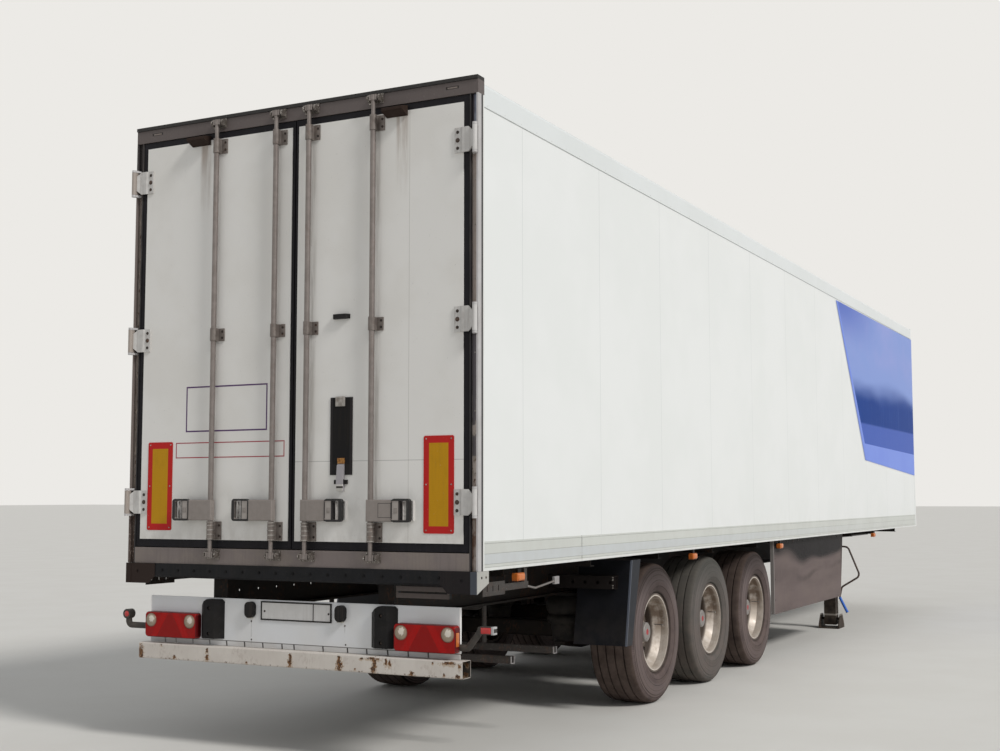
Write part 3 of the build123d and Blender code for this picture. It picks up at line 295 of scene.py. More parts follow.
    def inside(self, place: Socket, low: Vector, high: Vector, soft_mm: float) -> Socket:
        """A mask of a box about a place socket, in metres."""
        middle, half = (low + high) / 2, (high - low) / 2
        away = add(self.tree, VECTOR_MATH, {0: place, 1: middle}, operation="SUBTRACT")[0]
        away = add(self.tree, VECTOR_MATH, {0: away}, operation="ABSOLUTE")[0]
        away = add(self.tree, VECTOR_MATH, {0: away, 1: half}, operation="SUBTRACT")[0]
        parts = add(self.tree, SEPARATE, {0: away})
        most = self.either(parts[0], parts[1], parts[2])
        return self.fade(most, 0.0005 * soft_mm, -0.0005 * soft_mm)

    def lines(self, axis: Axis, places: tuple[float, ...], width_mm: float) -> Socket:
        """A mask of thin bands across an axis, at measured places in mm."""
        wide, narrow = 0.0006 * width_mm, 0.0004 * width_mm
        return self.either(0.0, *(self.fade(self.away(axis, p), wide, narrow) for p in places))

    def repeats(self, axis: Axis, pitch_mm: float, share: float) -> Socket:
        """A mask of bands that repeat along an axis, from one at its zero.

        Args:
            axis: Axis that they follow.
            pitch_mm: From one band to the next.
            share: Width of a band as a part of the pitch.
        """
        half = pitch_mm / 2000
        turn = add(self.tree, MATH, {0: self.away(axis, 0.0), 1: half}, operation="PINGPONG")[0]
        return self.fade(turn, share * half * 1.15, share * half * 0.85)

    def cover(self, mask: Socket, tone: str, roughness: float | None = None,
              metallic: float | None = None, amount: float = 1.0) -> None:
        """Lays another colour and gloss where a mask is 1.

        Args:
            mask: Where the coat lies.
            tone: Its colour.
            roughness: Its roughness, or the one below.
            metallic: Its metal, or the one below.
            amount: Its strength.
        """
        if amount != 1.0:
            mask = self.both(mask, amount)
        self.colour = add(self.tree, MIX, {0: mask, 6: self.colour, 7: linear(tone)},
                          data_type="RGBA")[2]
        if roughness is not None:
            self.roughness = add(self.tree, MIX, {0: mask, 2: self.roughness, 3: roughness})[0]
        if metallic is not None:
            self.metallic = add(self.tree, MIX, {0: mask, 2: self.metallic, 3: metallic})[0]

    def relief(self, height: Socket, depth_mm: float) -> None:
        """Raises the surface where a mask is 1, by a depth in mm that may be negative."""
        inputs = {"Strength": 1.0, "Distance": abs(depth_mm) / 1000, "Height": height}
        if self.normal is not None:
            inputs["Normal"] = self.normal
        self.normal = add(self.tree, "ShaderNodeBump", inputs, invert=depth_mm < 0)[0]

    def done(self, **shader: float | tuple) -> Material:
        """Joins the coats to the shader.

        Args:
            **shader: Constant values by input name, with _ for a space.

        Returns:
            The finished material.
        """
        inputs = {"Base Color": self.colour, "Roughness": self.roughness, "Metallic": self.metallic}
        if self.normal is not None:
            inputs["Normal"] = self.normal
        inputs.update({key.replace("_", " "): value for key, value in shader.items()})
        bsdf = add(self.tree, "ShaderNodeBsdfPrincipled", inputs)
        add(self.tree, "ShaderNodeOutputMaterial", {0: bsdf[0]})
        return self.material


@dataclass(frozen=True)
class Patch:
    """A measured box of a piece that has another colour and gloss, on both sides or on one."""

    low: Spot
    high: Spot
    tone: str
    roughness: float
    metallic: float = 0.0
    side: Side | None = None

    def mask(self, surface: Surface) -> Socket:
        """Where the patch lies."""
        place = surface.within(self.low, self.high)
        if self.side is None:
            return place
        sign = self.side.value
        return surface.both(place, surface.fade(surface.y, -0.01 * sign, 0.01 * sign))


@dataclass(frozen=True)
class Finish:
    """What a surface is made of and how it has aged.

    Each strength runs from 0, none, to 1, full.
    """

    name: str
    tone: str
    roughness: float
    metallic: float
    mottle: str
    mottle_mm: float
    mottle_strength: float
    grain_mm: float = 3.0
    grain_depth_mm: float = 0.08
    rain: float = 0.0
    rain_tone: str = "#6d6257"
    dust: float = 0.0
    dust_top_mm: float = 1100.0
    dust_tone: str = "#83776a"
    wear: float = 0.0
    wear_tone: str = "#9d9a96"
    wear_metal: float = 0.5
    rust: float = 0.0
    rust_tone: str = "#6b4226"
    patches: tuple[Patch, ...] = ()
    shader: tuple[tuple[str, float], ...] = ()
    dim: bool = False  # a dark dielectric

    def details(self, s: Surface) -> None:
        """Coats that one kind of finish has and others lack, under the dirt."""

    def material(self) -> Material:
        """Builds the material from the bare stuff up to the dust on it."""
        s = Surface(self.name, self.tone, self.roughness, self.metallic)
        s.cover(s.patches(self.mottle_mm, 0.5, 0.12), self.mottle, amount=self.mottle_strength)
        for patch in self.patches:
            s.cover(patch.mask(s), patch.tone, patch.roughness, patch.metallic)
        self.details(s)
        if self.wear:
            s.cover(s.patches(9, 0.05 + 0.1 * self.wear, 0.02, detail=5), self.wear_tone, 0.4,
                    self.wear_metal, self.wear)
        if self.rust:
            spots = s.both(s.patches(160, 0.4, 0.05), s.patches(14, 0.3, 0.03, (1, 1, 2), 5))
            s.cover(spots, self.rust_tone, 0.85, 0.0, self.rust)
        if self.rain:
            streaks = s.both(s.patches(16, 0.3, 0.08, (1, 1, 22), 4), s.patches(420, 0.55, 0.12))
            s.cover(streaks, self.rain_tone, 0.7, 0.0, self.rain)
        if self.dust:
            low = s.fade(s.z, self.dust_top_mm / 1000, self.dust_top_mm / 2600)
            haze = s.both(low, s.fade(s.cloud(110, detail=5), 0.3, 0.65))
            s.cover(haze, self.dust_tone, 0.85, 0.0, self.dust)
        if self.grain_depth_mm:
            s.relief(s.cloud(self.grain_mm, detail=2), self.grain_depth_mm)
        # A pale studio mirrors brighter in dark surfaces than a yard does, so theirs reflect less.
        dimmed = {"Specular_IOR_Level": STUDIO_SPECULAR} if self.dim else {}
        return s.done(**dict(self.shader), **dimmed)


@dataclass(frozen=True)
class PanelPaint(Finish):
    """Gel coat over a glass fibre panel: even and half glossy, with faint waves and joints."""

    seams: tuple[float, ...] = ()

    def details(self, s: Surface) -> None:
        """Panel joints, broad waves, a duller scuffed lining inside and the dark coupling panel."""
        if self.seams:
            joints = s.both(s.lines(Axis.X, self.seams, 5), s.fade(s.z, 1.30, 1.31))
            s.cover(joints, "#c9cdcc", 0.5, amount=0.7)
            s.relief(joints, -0.5)
        lining = s.within((78, -1, 1200), (13424, 1244, 3930), 4)
        s.cover(lining, "#cfd0cb", 0.52)
        rubs = s.both(lining, s.fade(s.z, 1.9, 1.4), s.patches(9, 0.12, 0.03, (24, 1, 1), 4))
        s.cover(rubs, "#8f8d87", 0.6, amount=0.6)
        s.relief(s.cloud(520, (1, 1, 1.6), 1), 1.2)
        s.cover(s.within((13520.1, -1, 1231), (13700, 321, 1433)), "#1f1e1e", 0.5)
        s.cover(s.region((13528.5, 95, 1300), (13700, 155, 1364)), "#b3261f", 0.4)
        s.cover(s.region((13528.5, -155, 1300), (13700, -95, 1364)), "#c79a1c", 0.4)


@dataclass(frozen=True)
class DoorPaint(Finish):
    """The doors' gel coat, stained under the buffer and handled round the levers."""

    stain: Flat = (0.0, 0.0)
    seam: float = 0.0
    level: float = 0.0

    def details(self, s: Surface) -> None:
        """Brown runs under the buffer, smears near the levers and grime along the foot."""
        low, high = self.stain
        outer = s.fade(s.x, REAR + 0.04, REAR + 0.02)
        under = s.both(outer, s.region((-200, low, 3000), (200, high, 3870), 26),
                       s.fade(s.z, 3.28, 3.86))
        s.cover(s.both(under, s.fade(s.cloud(34, (1, 1, 9), 4), 0.2, 0.7)), "#7d5f46", 0.6,
                amount=0.6)
        hands = s.both(s.within((-300, 150, 1360), (300, 930, 1600), 180),
                       s.patches(70, 0.45, 0.12, (1, 1, 1.6), 5))
        s.cover(hands, "#a8a299", 0.55, amount=0.15)
        foot = s.both(s.fade(s.z, 1.44, 1.28), s.patches(50, 0.55, 0.14, (1, 1, 2), 5))
        s.cover(foot, "#9a9187", 0.65, amount=0.2)
        beside = s.either(s.within((-300, 116, 1290), (300, 158, 3890), 44),
                          s.within((-300, 588, 1290), (300, 630, 3890), 44))
        s.cover(s.both(outer, beside, s.fade(s.cloud(24, (1, 1, 14), 4), 0.3, 0.7)), "#8b8178", 0.6,
                amount=0.45)
        s.cover(s.patches(6, 0.008, 0.006, (1, 1, 1.5), 4), "#5d554d", 0.7, amount=0.8)
        if self.seam:
            s.cover(s.both(outer, s.lines(Axis.Y, (self.seam,), 3)), "#a8a39b", 0.6, amount=0.6)
        if self.level:
            s.cover(s.both(outer, s.lines(Axis.Z, (self.level,), 4)), "#8a8684", 0.6, amount=0.55)
        s.relief(s.cloud(480, (1, 1, 1.6), 1), 1.0)


@dataclass(frozen=True)
class GroovedRail(Finish):
    """Extruded aluminium with fine grooves along it."""

    grooves: tuple[float, ...] = ()
    joints: tuple[float, ...] = ()

    def details(self, s: Surface) -> None:
        """Grooves along the section; on the base rail also butt joints and two pale strips."""
        lines = s.lines(Axis.Z, self.grooves, 3)
        s.cover(lines, "#8b8e89", 0.6, amount=0.4)
        s.relief(lines, -1.2)
        if self.joints:
            butts = s.lines(Axis.X, self.joints, 7)
            s.cover(butts, "#4a4845", 0.7, amount=0.9)
            strip = s.both(s.within((78, 1290, 1179), (13450, 1310, 1237)),
                           s.fade(s.x, 6.0, -5.0))
            s.cover(strip, "#c8cdd0", 0.34, amount=0.8)
            s.cover(s.within((78, 1290, 1140), (13450, 1310, 1159)), "#eceeec", 0.34, amount=0.7)
            s.relief(butts, -1.0)


@dataclass(frozen=True)
class TornTape(Finish):
    """Rear frame profile whose recess holds sun-baked tape, half torn away."""

    def details(self, s: Surface) -> None:
        """Brown backing, remains of the tape, a whole strip at the top, a dark inner lip and
        painted shade on the left post.
        """
        left = s.fade(s.y, -0.1, 0.1)
        # Painted shade: the left post's flange is darker than the right's.
        flange = s.both(left, s.within((-5, 1287.5, 1100), (82, 1310, 4100)))
        s.cover(flange, "#776c67", 0.6, 0.0)
        recess = s.within((8, 1251, 1100), (30, 1287.5, 4100))
        s.cover(recess, "#c4b8b0", 0.75)
        # Painted shade: the left post's recess is darker than the right's.
        s.cover(s.both(left, recess), "#8d837b", 0.75)
        backing = s.both(recess, s.fade(s.z, 1.72, 1.45),
                         s.fade(s.cloud(60, (1, 1, 3), 4), 0.3, 0.6))
        s.cover(backing, "#6b4a35", 0.85)
        tape = s.both(recess, s.patches(26, 0.2, 0.02, (1, 1, 3.2), 5))
        s.cover(tape, "#a89d92", 0.75)
        rusty = s.both(recess, s.patches(20, 0.14, 0.05, (1, 1, 2), 4))
        s.cover(rusty, "#55382a", 0.85, amount=0.8)
        right = s.beyond(left)
        bare = s.both(right, recess, s.fade(s.z, 2.54, 2.62))
        s.cover(bare, "#ab9e96", 0.6, amount=0.85)
        ragged = s.both(s.within((8, 1251, 1800), (30, 1276, 2170), 9),
                        s.fade(s.cloud(52, (1, 1, 2.4), 3), 0.36, 0.46))
        s.cover(s.both(right, s.either(s.within((8, 1251, 2150), (30, 1287, 2512), 6), ragged)),
                "#666165", 0.5)
        strip = s.within((2, 1262, 3742), (30, 1288, 4006), 3)
        s.cover(strip, "#8790a1", 0.3)
        s.cover(s.both(strip, s.patches(60, 0.4, 0.1, (1, 1, 3), 3)), "#5c6072", 0.35)
        s.cover(s.within((2, 1243, 3742), (30, 1262, 4012), 3), "#39353f", 0.5)
        s.cover(s.within((-5, 1240, 1100), (30, 1251, 4100)), "#1c1a1d", 0.6, 0.0)
        # Painted shade: the top of the left post is near black.
        top = s.both(left, s.within((-10, 1240, 3742), (90, 1310, 4100), 6))
        s.cover(top, "#2b2728", 0.7, 0.0)
        foot = s.both(left, s.fade(s.z, 1.52, 1.40),
                      s.within((-10, 1251, 1100), (90, 1310, 4100)))
        s.cover(foot, "#4a3b34", 0.8, 0.0, 0.9)
        s.cover(s.both(foot, s.patches(9, 0.14, 0.03, (1, 1, 2), 4)), "#8f8379", 0.8)
        s.cover(s.within((62, 1290, 1100), (80, 1305, 4100)), "#e3e5e2", 0.4, 0.0)
        s.cover(s.within((40, 1290, 1100), (62, 1305, 4100), 4), "#3d3b3d", 0.7, 0.0)


@dataclass(frozen=True)
class LeverSteel(Finish):
    """Painted pressed steel lever housings, with moulded grips and pale trays."""

    bars: Flat = (125.0, 597.0)
    framed_side: int = 0

    def details(self, s: Surface) -> None:
        """Black grip loops, a lighter tongue behind each with painted shade on its end face, trays
        and one outlined cover.
        """
        for y in self.bars:
            s.cover(s.within((-15, y + 204, 1426), (1, y + 283, 1545)), "#d9d6d3", 0.5)
            dirt = s.both(s.within((-15, y + 208, 1430), (-3, y + 279, 1541)),
                          s.patches(16, 0.4, 0.1, detail=4))
            s.cover(dirt, "#8f867c", 0.6, amount=0.35)
            s.cover(s.within((-61, y + 163, 1431), (-59, y + 208, 1543)), "#a19a95", 0.45)
            # Painted shade: the tongue's narrow end face is painted near black.
            s.cover(s.within((-61, y + 207, 1420), (-21, y + 216, 1552)), "#242122", 0.5)
            s.cover(s.rim((-65, y + 157, 1417), (-39.5, y + 288, 1557), 6.5, 25, 14), "#1b1a1b",
                    0.42)
        if self.framed_side:
            y0, y1 = sorted(self.framed_side * (self.bars[1] + v) for v in (66, 157))
            around = s.region((-61, y0, 1444), (-59, y1, 1530))
            within = s.region((-62, y0 + 3, 1447), (-58, y1 - 3, 1527))
            s.cover(s.both(around, s.beyond(within)), "#2b2828", 0.6)


@dataclass(frozen=True)
class LampPlastic(Finish):
    """Moulded acrylic: clear red over reflex cells on the tail lamps, amber along the side."""

    triangle: tuple[float, float, float, float] = (942.0, 812.0, 24.0, 0.607)

    def details(self, s: Surface) -> None:
        """Deep triangle, brighter wedges beside it, reflex cells, amber sides and black stems."""
        middle, top, half, slope = self.triangle
        off = s.gap(s.across, middle / 1000)
        edge = add(s.tree, MATH, {0: s.z, 1: slope, 2: off}, operation="MULTIPLY_ADD")[0]
        zero = top / 1000 * slope + half / 1000
        s.cover(s.fade(edge, zero + 0.062, zero + 0.04), "#a80c0a", 0.25)
        s.cover(s.fade(edge, zero + 0.002, zero - 0.002), "#8f0b09", 0.3)
        tail = s.within((0, 700, 660), (70, 1160, 840))
        s.relief(s.both(tail, s.either(s.repeats(Axis.Y, 8, 0.35), s.repeats(Axis.Z, 8, 0.35))),
                 0.5)
        border = s.rim((0, 734, 669), (70, 1149, 831), 5, 5, 5)
        s.cover(border, "#5e1216", 0.4)
        s.cover(s.within((200, 1200, 1050), (11000, 1300, 1109)), "#b5632a", 0.3)
        s.cover(s.within((200, 1200, 1107.5), (11000, 1300, 1150)), "#1c1a1a", 0.5)


@dataclass(frozen=True)
class ReflectiveSheet(Finish):
    """Retroreflective sheet on aluminium: ochre field in a red border, with a cell grid."""

    middle: Flat = (1042.0, 1638.0)
    size: Flat = (203.0, 568.0)

    def details(self, s: Surface) -> None:
        """Border, field, scuffs and the fine grid of reflecting cells."""
        (y, z), (width, height) = self.middle, self.size
        plate = s.within((-4, y - width / 2 - 1, z - height / 2 - 1),
                         (-0.5, y + width / 2 + 1, z + height / 2 + 1))
        s.cover(plate, "#be1f22", 0.45)
        border = 37
        centre = s.within((-4, y - width / 2 + border, z - height / 2 + border * 1.15),
                          (-0.5, y + width / 2 - border, z + height / 2 - border * 1.15))
        s.cover(centre, "#c28e12", 0.45)
        cells = s.both(plate, s.either(s.repeats(Axis.Y, 10, 0.12), s.repeats(Axis.Z, 10, 0.12)))
        s.cover(cells, "#8b5a20", 0.5, amount=0.12)
        s.cover(s.both(centre, s.patches(46, 0.2, 0.08, (1, 1, 2), 5)), "#b58513", 0.5, amount=0.4)
        s.cover(s.both(plate, s.patches(7, 0.006, 0.004, detail=4)), "#b9b2a6", 0.6, amount=0.7)


@dataclass(frozen=True)
class ChippedPaint(Finish):
    """Cream enamel on steel, chipped to rust where it has been struck."""

    chips: tuple[Blot, ...] = ()

    def details(self, s: Surface) -> None:
        """Orange rust round each chip, dark scale in it and small pits along the foot."""
        weeping = tuple((y, z - 8, wide * 1.5, high * 1.35) for y, z, wide, high in self.chips)
        weep = s.blots(weeping, 0.9)
        s.cover(weep, "#a88d6c", 0.65, amount=0.6)
        halo = s.blots(self.chips, 0.75)
        s.cover(halo, "#80562c", 0.75)
        core = s.both(s.fade(s.cloud(9, detail=4), 0.42, 0.54), halo)
        s.cover(core, "#3c2413", 0.85)
        foot = s.both(s.fade(s.z, 0.548, 0.540), s.patches(16, 0.12, 0.03, detail=4))
        s.cover(foot, "#5f4a38", 0.85, amount=0.9)
        s.relief(halo, -0.3)


@dataclass(frozen=True)
class BoardPaint(Finish):
    """White enamel on a folded steel board, with a few screw heads that have wept."""

    screws: tuple[Flat, ...] = ((339, 794), (337, 682), (-358, 794), (-365, 682))
    crease_mm: float = 666.0
    slits: tuple[float, ...] = (1027, 937, 801, 665, 531, 391, 250, 104, 14, -200, -377, -514, -660,
                                -801, -937)

    def details(self, s: Surface) -> None:
        """Thin runs under the screws, dark lines at the crease and slits, and a dusty fold."""
        for y, z in self.screws:
            run = s.region((0, y - 1.5, z - 96), (80, y + 1.5, z), 2)
            s.cover(s.both(run, s.fade(s.cloud(12, (1, 1, 8), 3), 0.4, 0.6)), "#77706a", 0.6,
                    amount=0.7)
        s.cover(s.blots(tuple((y, z, 5.5, 5.5) for y, z in self.screws), 0.1), "#35302e", 0.6)
        fold = s.both(s.fade(s.z, 0.673, 0.664), s.fade(s.cloud(90, (1, 3, 1), 4), 0.25, 0.7))
        s.cover(fold, "#a39c93", 0.6, amount=0.3)
        s.cover(s.lines(Axis.Z, (self.crease_mm,), 5), "#45403d", 0.7, amount=0.85)
        slits: Socket | float = 0.0
        for y in self.slits:
            slits = s.either(slits, s.region((0, y - 5, 630), (80, y + 5, self.crease_mm), 2))
        s.cover(slits, "#37322f", 0.8, amount=0.9)


@dataclass(frozen=True)
class WheelPaint(Finish):
    """Silver paint on pressed steel, brown with brake dust towards the disc."""

    centres: tuple[float, ...] = (3065.0, 4375.0, 5685.0)
    radius_mm: float = 530.0

    def from_hub(self, s: Surface) -> Socket:
        """Distance from the nearest wheel's axis, in metres."""
        up = add(s.tree, MATH, {0: s.z, 1: self.radius_mm / 1000}, operation="SUBTRACT")[0]
        nearest: Socket | float = 9.0
        for x in self.centres:
            flat = add(s.tree, COMBINE, {0: s.away(Axis.X, x), 1: up})[0]
            far = add(s.tree, VECTOR_MATH, {0: flat}, operation="LENGTH")["Value"]
            nearest = add(s.tree, MATH, {0: nearest, 1: far}, operation="MINIMUM")[0]
        return nearest

    def details(self, s: Surface) -> None:
        """Brake dust, laid on heavier above the axle as painted shade, a painted highlight on the
        flange and dark machined parts inboard.
        """
        far = self.from_hub(s)
        depth = s.across
        # Painted shade: brake dust is laid on fully above the axle and weaker below, darkening the
        # upper well.
        upper = s.fade(s.z, 0.40, 0.62)
        dusty = s.both(s.fade(depth, 1.205, 1.17), s.fade(s.cloud(70, detail=5), 0.2, 0.6),
                       s.either(upper, 0.3))
        s.cover(dusty, "#6c5644", 0.75, 0.0, 0.85)
        disc = s.both(s.fade(far, 0.262, 0.24), s.fade(depth, 1.10, 1.08))
        s.cover(disc, "#4a3f37", 0.8, 0.1, 0.9)
        s.cover(s.fade(far, 0.284, 0.287), "#5d524a", 0.6, 0.1)
        # Painted highlight: a brighter, glossier band along the flange edge.
        flange_highlight = s.both(s.fade(depth, 1.215, 1.222), s.fade(far, 0.27, 0.274),
                          s.fade(far, 0.286, 0.284))
        s.cover(flange_highlight, "#e2ddd3", 0.3, 0.3)
        cap = s.both(s.fade(far, 0.078, 0.074), s.fade(depth, 1.085, 1.095))
        s.cover(cap, "#8f8b88", 0.5, 0.3)
        s.cover(s.both(s.fade(far, 0.024, 0.022), s.fade(depth, 1.12, 1.13)), "#a52a31", 0.5, 0.0)
        s.cover(s.fade(depth, 0.99, 0.97), "#3b3029", 0.7, 0.3)


@dataclass(frozen=True)
class TyreRubber(WheelPaint):
    """Weathered tyre rubber: brown-grey road dust on the wall, darker tread, black grooves."""

    def details(self, s: Surface) -> None:
        """Dust on the walls, painted shade on top, dark grooves, rings and radial side wall flutes.
        """
        round_it = add(s.tree, SEPARATE, {0: s.skin})[0]
        far = self.from_hub(s)
        s.cover(s.fade(s.cloud(150, detail=5), 0.1, 0.6), "#625654", 0.88, amount=0.9)
        s.cover(s.both(s.fade(far, 0.37, 0.40), s.fade(far, 0.49, 0.46)), "#6e6362", 0.85,
                amount=0.8)
        # Painted shade: the upper part of the tyre is darkened as if shaded by the body above.
        s.cover(s.fade(s.z, 0.72, 1.02), "#231d1b", 0.85, amount=0.75)
        tread = s.fade(far, 0.505, 0.512)
        s.cover(tread, "#413631", 0.9, amount=0.85)
        s.cover(s.both(tread, s.patches(60, 0.35, 0.1, (1, 3, 1), 5)), "#4d423b", 0.9, amount=0.6)
        s.cover(s.both(s.fade(far, 0.519, 0.513), s.fade(far, 0.500, 0.506),
                       s.fade(s.away(Axis.Y, 0), 1.19, 1.18)), "#120f0e", 0.95, amount=0.95)
        bead = s.fade(far, 0.322, 0.306)
        s.cover(bead, "#2a2421", 0.8, amount=0.85)
        for ring, wide in ((0.352, 0.003), (0.398, 0.0025), (0.438, 0.002), (0.470, 0.004),
                           (0.488, 0.005)):
            line = s.fade(s.gap(far, ring), wide, wide * 0.5)
            s.cover(line, "#2a2320", 0.9, amount=0.7)
            s.relief(line, -1.5)
        beat = add(s.tree, MATH, {0: far, 1: 0.0035}, operation="PINGPONG")[0]
        rings = s.both(s.fade(beat, 0.0012, 0.0022), s.fade(far, 0.48, 0.44))
        s.relief(rings, 0.6)
        turn = add(s.tree, MATH, {0: round_it, 1: 180.0}, operation="MULTIPLY")[0]
        turn = add(s.tree, MATH, {0: turn, 1: 0.5}, operation="PINGPONG")[0]
        flutes = s.both(s.fade(turn, 0.40, 0.47), s.fade(far, 0.478, 0.484),
                        s.fade(far, 0.506, 0.5))
        s.cover(flutes, "#2b2623", 0.95, amount=0.6)
        # One tyre is a newer make than the rest: greyer rubber.
        s.cover(s.region((3760, -1300, -50), (4980, -800, 1100), 20), "#62645f", 0.85, amount=0.45)


@dataclass(frozen=True)
class PaintedReflectionFilm(Finish):
    """Vinyl film with a reflection of its surroundings painted in, paler from the top down."""

    def details(self, s: Surface) -> None:
        """Painted reflection: pale above, deep blue below and a mid blue foot; fine upright runs.
        """
        # Painted reflection: a mid blue foot low on the film.
        s.cover(s.fade(s.z, 2.49, 2.455), "#5a74cc", 0.2, amount=0.65)
        # Painted reflection: paler, cloudy blue rising up the film.
        reflection_level = add(s.tree, MATH, {0: s.cloud(1400, (1.6, 1, 0.4), 2), 1: 0.35, 2: s.z},
                    operation="MULTIPLY_ADD")[0]
        s.cover(s.fade(reflection_level, 2.92, 3.24), "#8ba1dd", 0.2)
        s.cover(s.both(s.fade(reflection_level, 3.2, 3.6), s.patches(900, 0.5, 0.25, (1, 1, 0.6), 2)),
                "#9ba5df", 0.2, amount=0.7)
        s.cover(s.both(s.fade(s.z, 3.3, 3.85), s.fade(s.x, 4.6, 2.0)), "#5068c0", 0.2,
                amount=0.75)
        s.cover(s.both(s.patches(14, 0.06, 0.03, (1.5, 1, 60), 3), s.fade(s.z, 3.0, 2.7)),
                "#5f7ac4", 0.2, amount=0.4)


@dataclass(frozen=True)
class LampBowl(Finish):
    """Clear acrylic over a silvered bowl, with rings moulded in it."""

    centres: Flat = (785.0, 1098.0)
    height_mm: float = 778.0

    def details(self, s: Surface) -> None:
        """A painted highlight off centre, a darker border and fine moulded rings."""
        bowls = [(sign * y, self.height_mm) for y in self.centres for sign in (1, -1)]
        # Painted highlight: a bright spot off each bowl's centre.
        spots = tuple((y - 6, z + 8, 20, 22) for y, z in bowls)
        s.cover(s.blots(spots, 0.4), "#e6ded2", 0.1, amount=0.85)
        full = tuple((y, z, 40, 40) for y, z in bowls)
        s.cover(s.beyond(s.blots(full, 0.0)), "#7d4a42", 0.3, amount=0.8)
        s.relief(s.repeats(Axis.Z, 7, 0.4), 0.4)


@dataclass(frozen=True)
class BlankPlate(Finish):
    """A blank sheet in a moulded frame, with a join across it and a lamp at each end."""

    def details(self, s: Surface) -> None:
        """Black surround, a black line at the join and black number lamps."""
        s.cover(s.rim((50, -300, 805), (64.5, 264, 923), 0, 9.5, 9.5), "#1a1819", 0.45)
        s.cover(s.region((50, -135, 808), (64.5, -129, 920)), "#2a2829", 0.5)
        s.cover(s.within((20, 290, 810), (70, 390, 925)), "#171617", 0.45)


@dataclass(frozen=True)
class SidePanelPlastic(Finish):
    """Dark dusty plastic sheet with painted reflections, a band of painted shade above and a
    painted highlight on its rear edge.
    """

    def details(self, s: Surface) -> None:
        """Painted shade under the rail, soft waves of painted reflection, runs and a painted
        highlight on the rear return.
        """
        level = add(s.tree, MATH, {0: s.cloud(520, (2.4, 1, 1), 1), 1: 0.4, 2: s.z},
                    operation="MULTIPLY_ADD")[0]
        # Painted shade: a dark wavy band along the top, where the body shades the panel.
        s.cover(s.fade(level, 1.10, 1.21), "#1d1c1e", 0.25, amount=0.96)
        # Painted reflection: darker wavy bands below it.
        second = s.both(s.fade(level, 0.93, 0.97), s.fade(level, 1.04, 0.98))
        s.cover(s.both(second, s.patches(260, 0.5, 0.16, (3, 1, 1), 3)), "#544b4a", 0.3, amount=0.8)
        s.cover(s.both(s.patches(300, 0.4, 0.15, (4, 1, 0.7), 4), s.fade(level, 1.15, 1.08)),
                "#5c5251", 0.34, amount=0.6)
        s.cover(s.both(s.patches(14, 0.05, 0.03, (1, 1, 26), 4), s.fade(s.z, 1.0, 0.8)),
                "#7a706b", 0.5, amount=0.5)
        # Painted highlight: the pale rear return.
        s.cover(s.within((6200, 1100, 425), (6262, 1300, 1145), 3), "#8f8a87", 0.4, amount=0.85)
        s.cover(s.within((9040, 1100, 425), (9160, 1300, 1145), 30), "#3a3433", 0.4, amount=0.6)
        s.relief(s.cloud(620, (1, 1, 0.6), 2), 5.0)


@dataclass(frozen=True)
class FlapRubber(Finish):
    """Sheet rubber with a stiff cheek, and a painted highlight along the cheek's rear edge."""

    foot: Flat = (2335.0, 495.0)
    lean: float = 0.19672
    cheek: Flat = (1249.0, 1264.0)

    def details(self, s: Surface) -> None:
        """Slate cheek, painted highlight on its rear edge, dark brown channel behind the screws."""
        cheek = s.within((2325, self.cheek[0], 480), (2640, self.cheek[1], 1142))
        s.cover(cheek, "#20232a", 0.5)
        start = REAR + (self.foot[0] - self.lean * self.foot[1]) / 1000
        along = add(s.tree, MATH, {0: s.z, 1: -self.lean, 2: s.x},
                    operation="MULTIPLY_ADD")[0]
        # Painted highlight: a pale band along the cheek's rear edge.
        s.cover(s.both(cheek, s.fade(along, start + 0.014, start + 0.008)), "#565b66", 0.45)
        s.cover(s.within((2376, 600, 893), (2460, 1164, 997)), "#1d1817", 0.6)


@dataclass(frozen=True)
class UnitShell(Finish):
    """Glossy moulding of the cooling unit, with black louvres set in it."""

    def details(self, s: Surface) -> None:
        """Black grilles, dust on their slats and fine lines between the doors."""
        grilles = s.either(s.within((13930, -1, 1801), (13949.3, 839, 2539)),
                           s.within((13930, -1, 2691), (13949.3, 839, 3739)))
        s.cover(grilles, "#1e1d1d", 0.5)
        s.cover(s.both(grilles, s.fade(s.cloud(60, detail=4), 0.45, 0.7)), "#4a453f", 0.8,
                amount=0.6)
        lines = s.either(s.lines(Axis.Z, (1700, 2615, 3835), 4),
                         s.both(s.lines(Axis.Y, (0,), 4), s.beyond(grilles)))
        s.cover(s.both(lines, s.fade(s.x, 6.99, 7.0)), "#5a5a58", 0.6, amount=0.8)


def dress(finish: Finish, *names: str) -> Material:
    """Makes a finish's material and puts it on the slots of CAD nodes.

    Args:
        finish: The finish.
        *names: Node names.

    Returns:
        The material.
    """
    material = finish.material()
    for name in names:
        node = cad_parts[name]
        for slot in node.material_slots:
            slot.material = material
        if not node.material_slots:
            node.data.materials.append(material)
    log.info("dressed %s with %s", ", ".join(names), material.name)
    return material


# ---- Meshes


def lift(flat: Flat, far: float, along: Axis) -> Spot:
    """Makes a place of a distance along an axis and a point in the other two."""
    values = list(flat)
    values.insert(along.value, far)
    return tuple(values)


def circle(centre: Spot, radius: float, count: int, along: Axis, far: float = 0.0,
           turn: float = 0.0) -> list[Spot]:
    """Places evenly round a circle about an axis.

    Args:
        centre: Place from which the rest is measured.
        radius: The circle's radius.
        count: Number of places.
        along: The axis.
        far: The circle's distance from the centre along the axis.
        turn: Angle of the first place in radians.
    """
    angles = (turn + math.tau * i / count for i in range(count))
    spots = (lift((radius * math.cos(a), radius * math.sin(a)), far, along) for a in angles)
    return [tuple(c + v for c, v in zip(centre, spot)) for spot in spots]


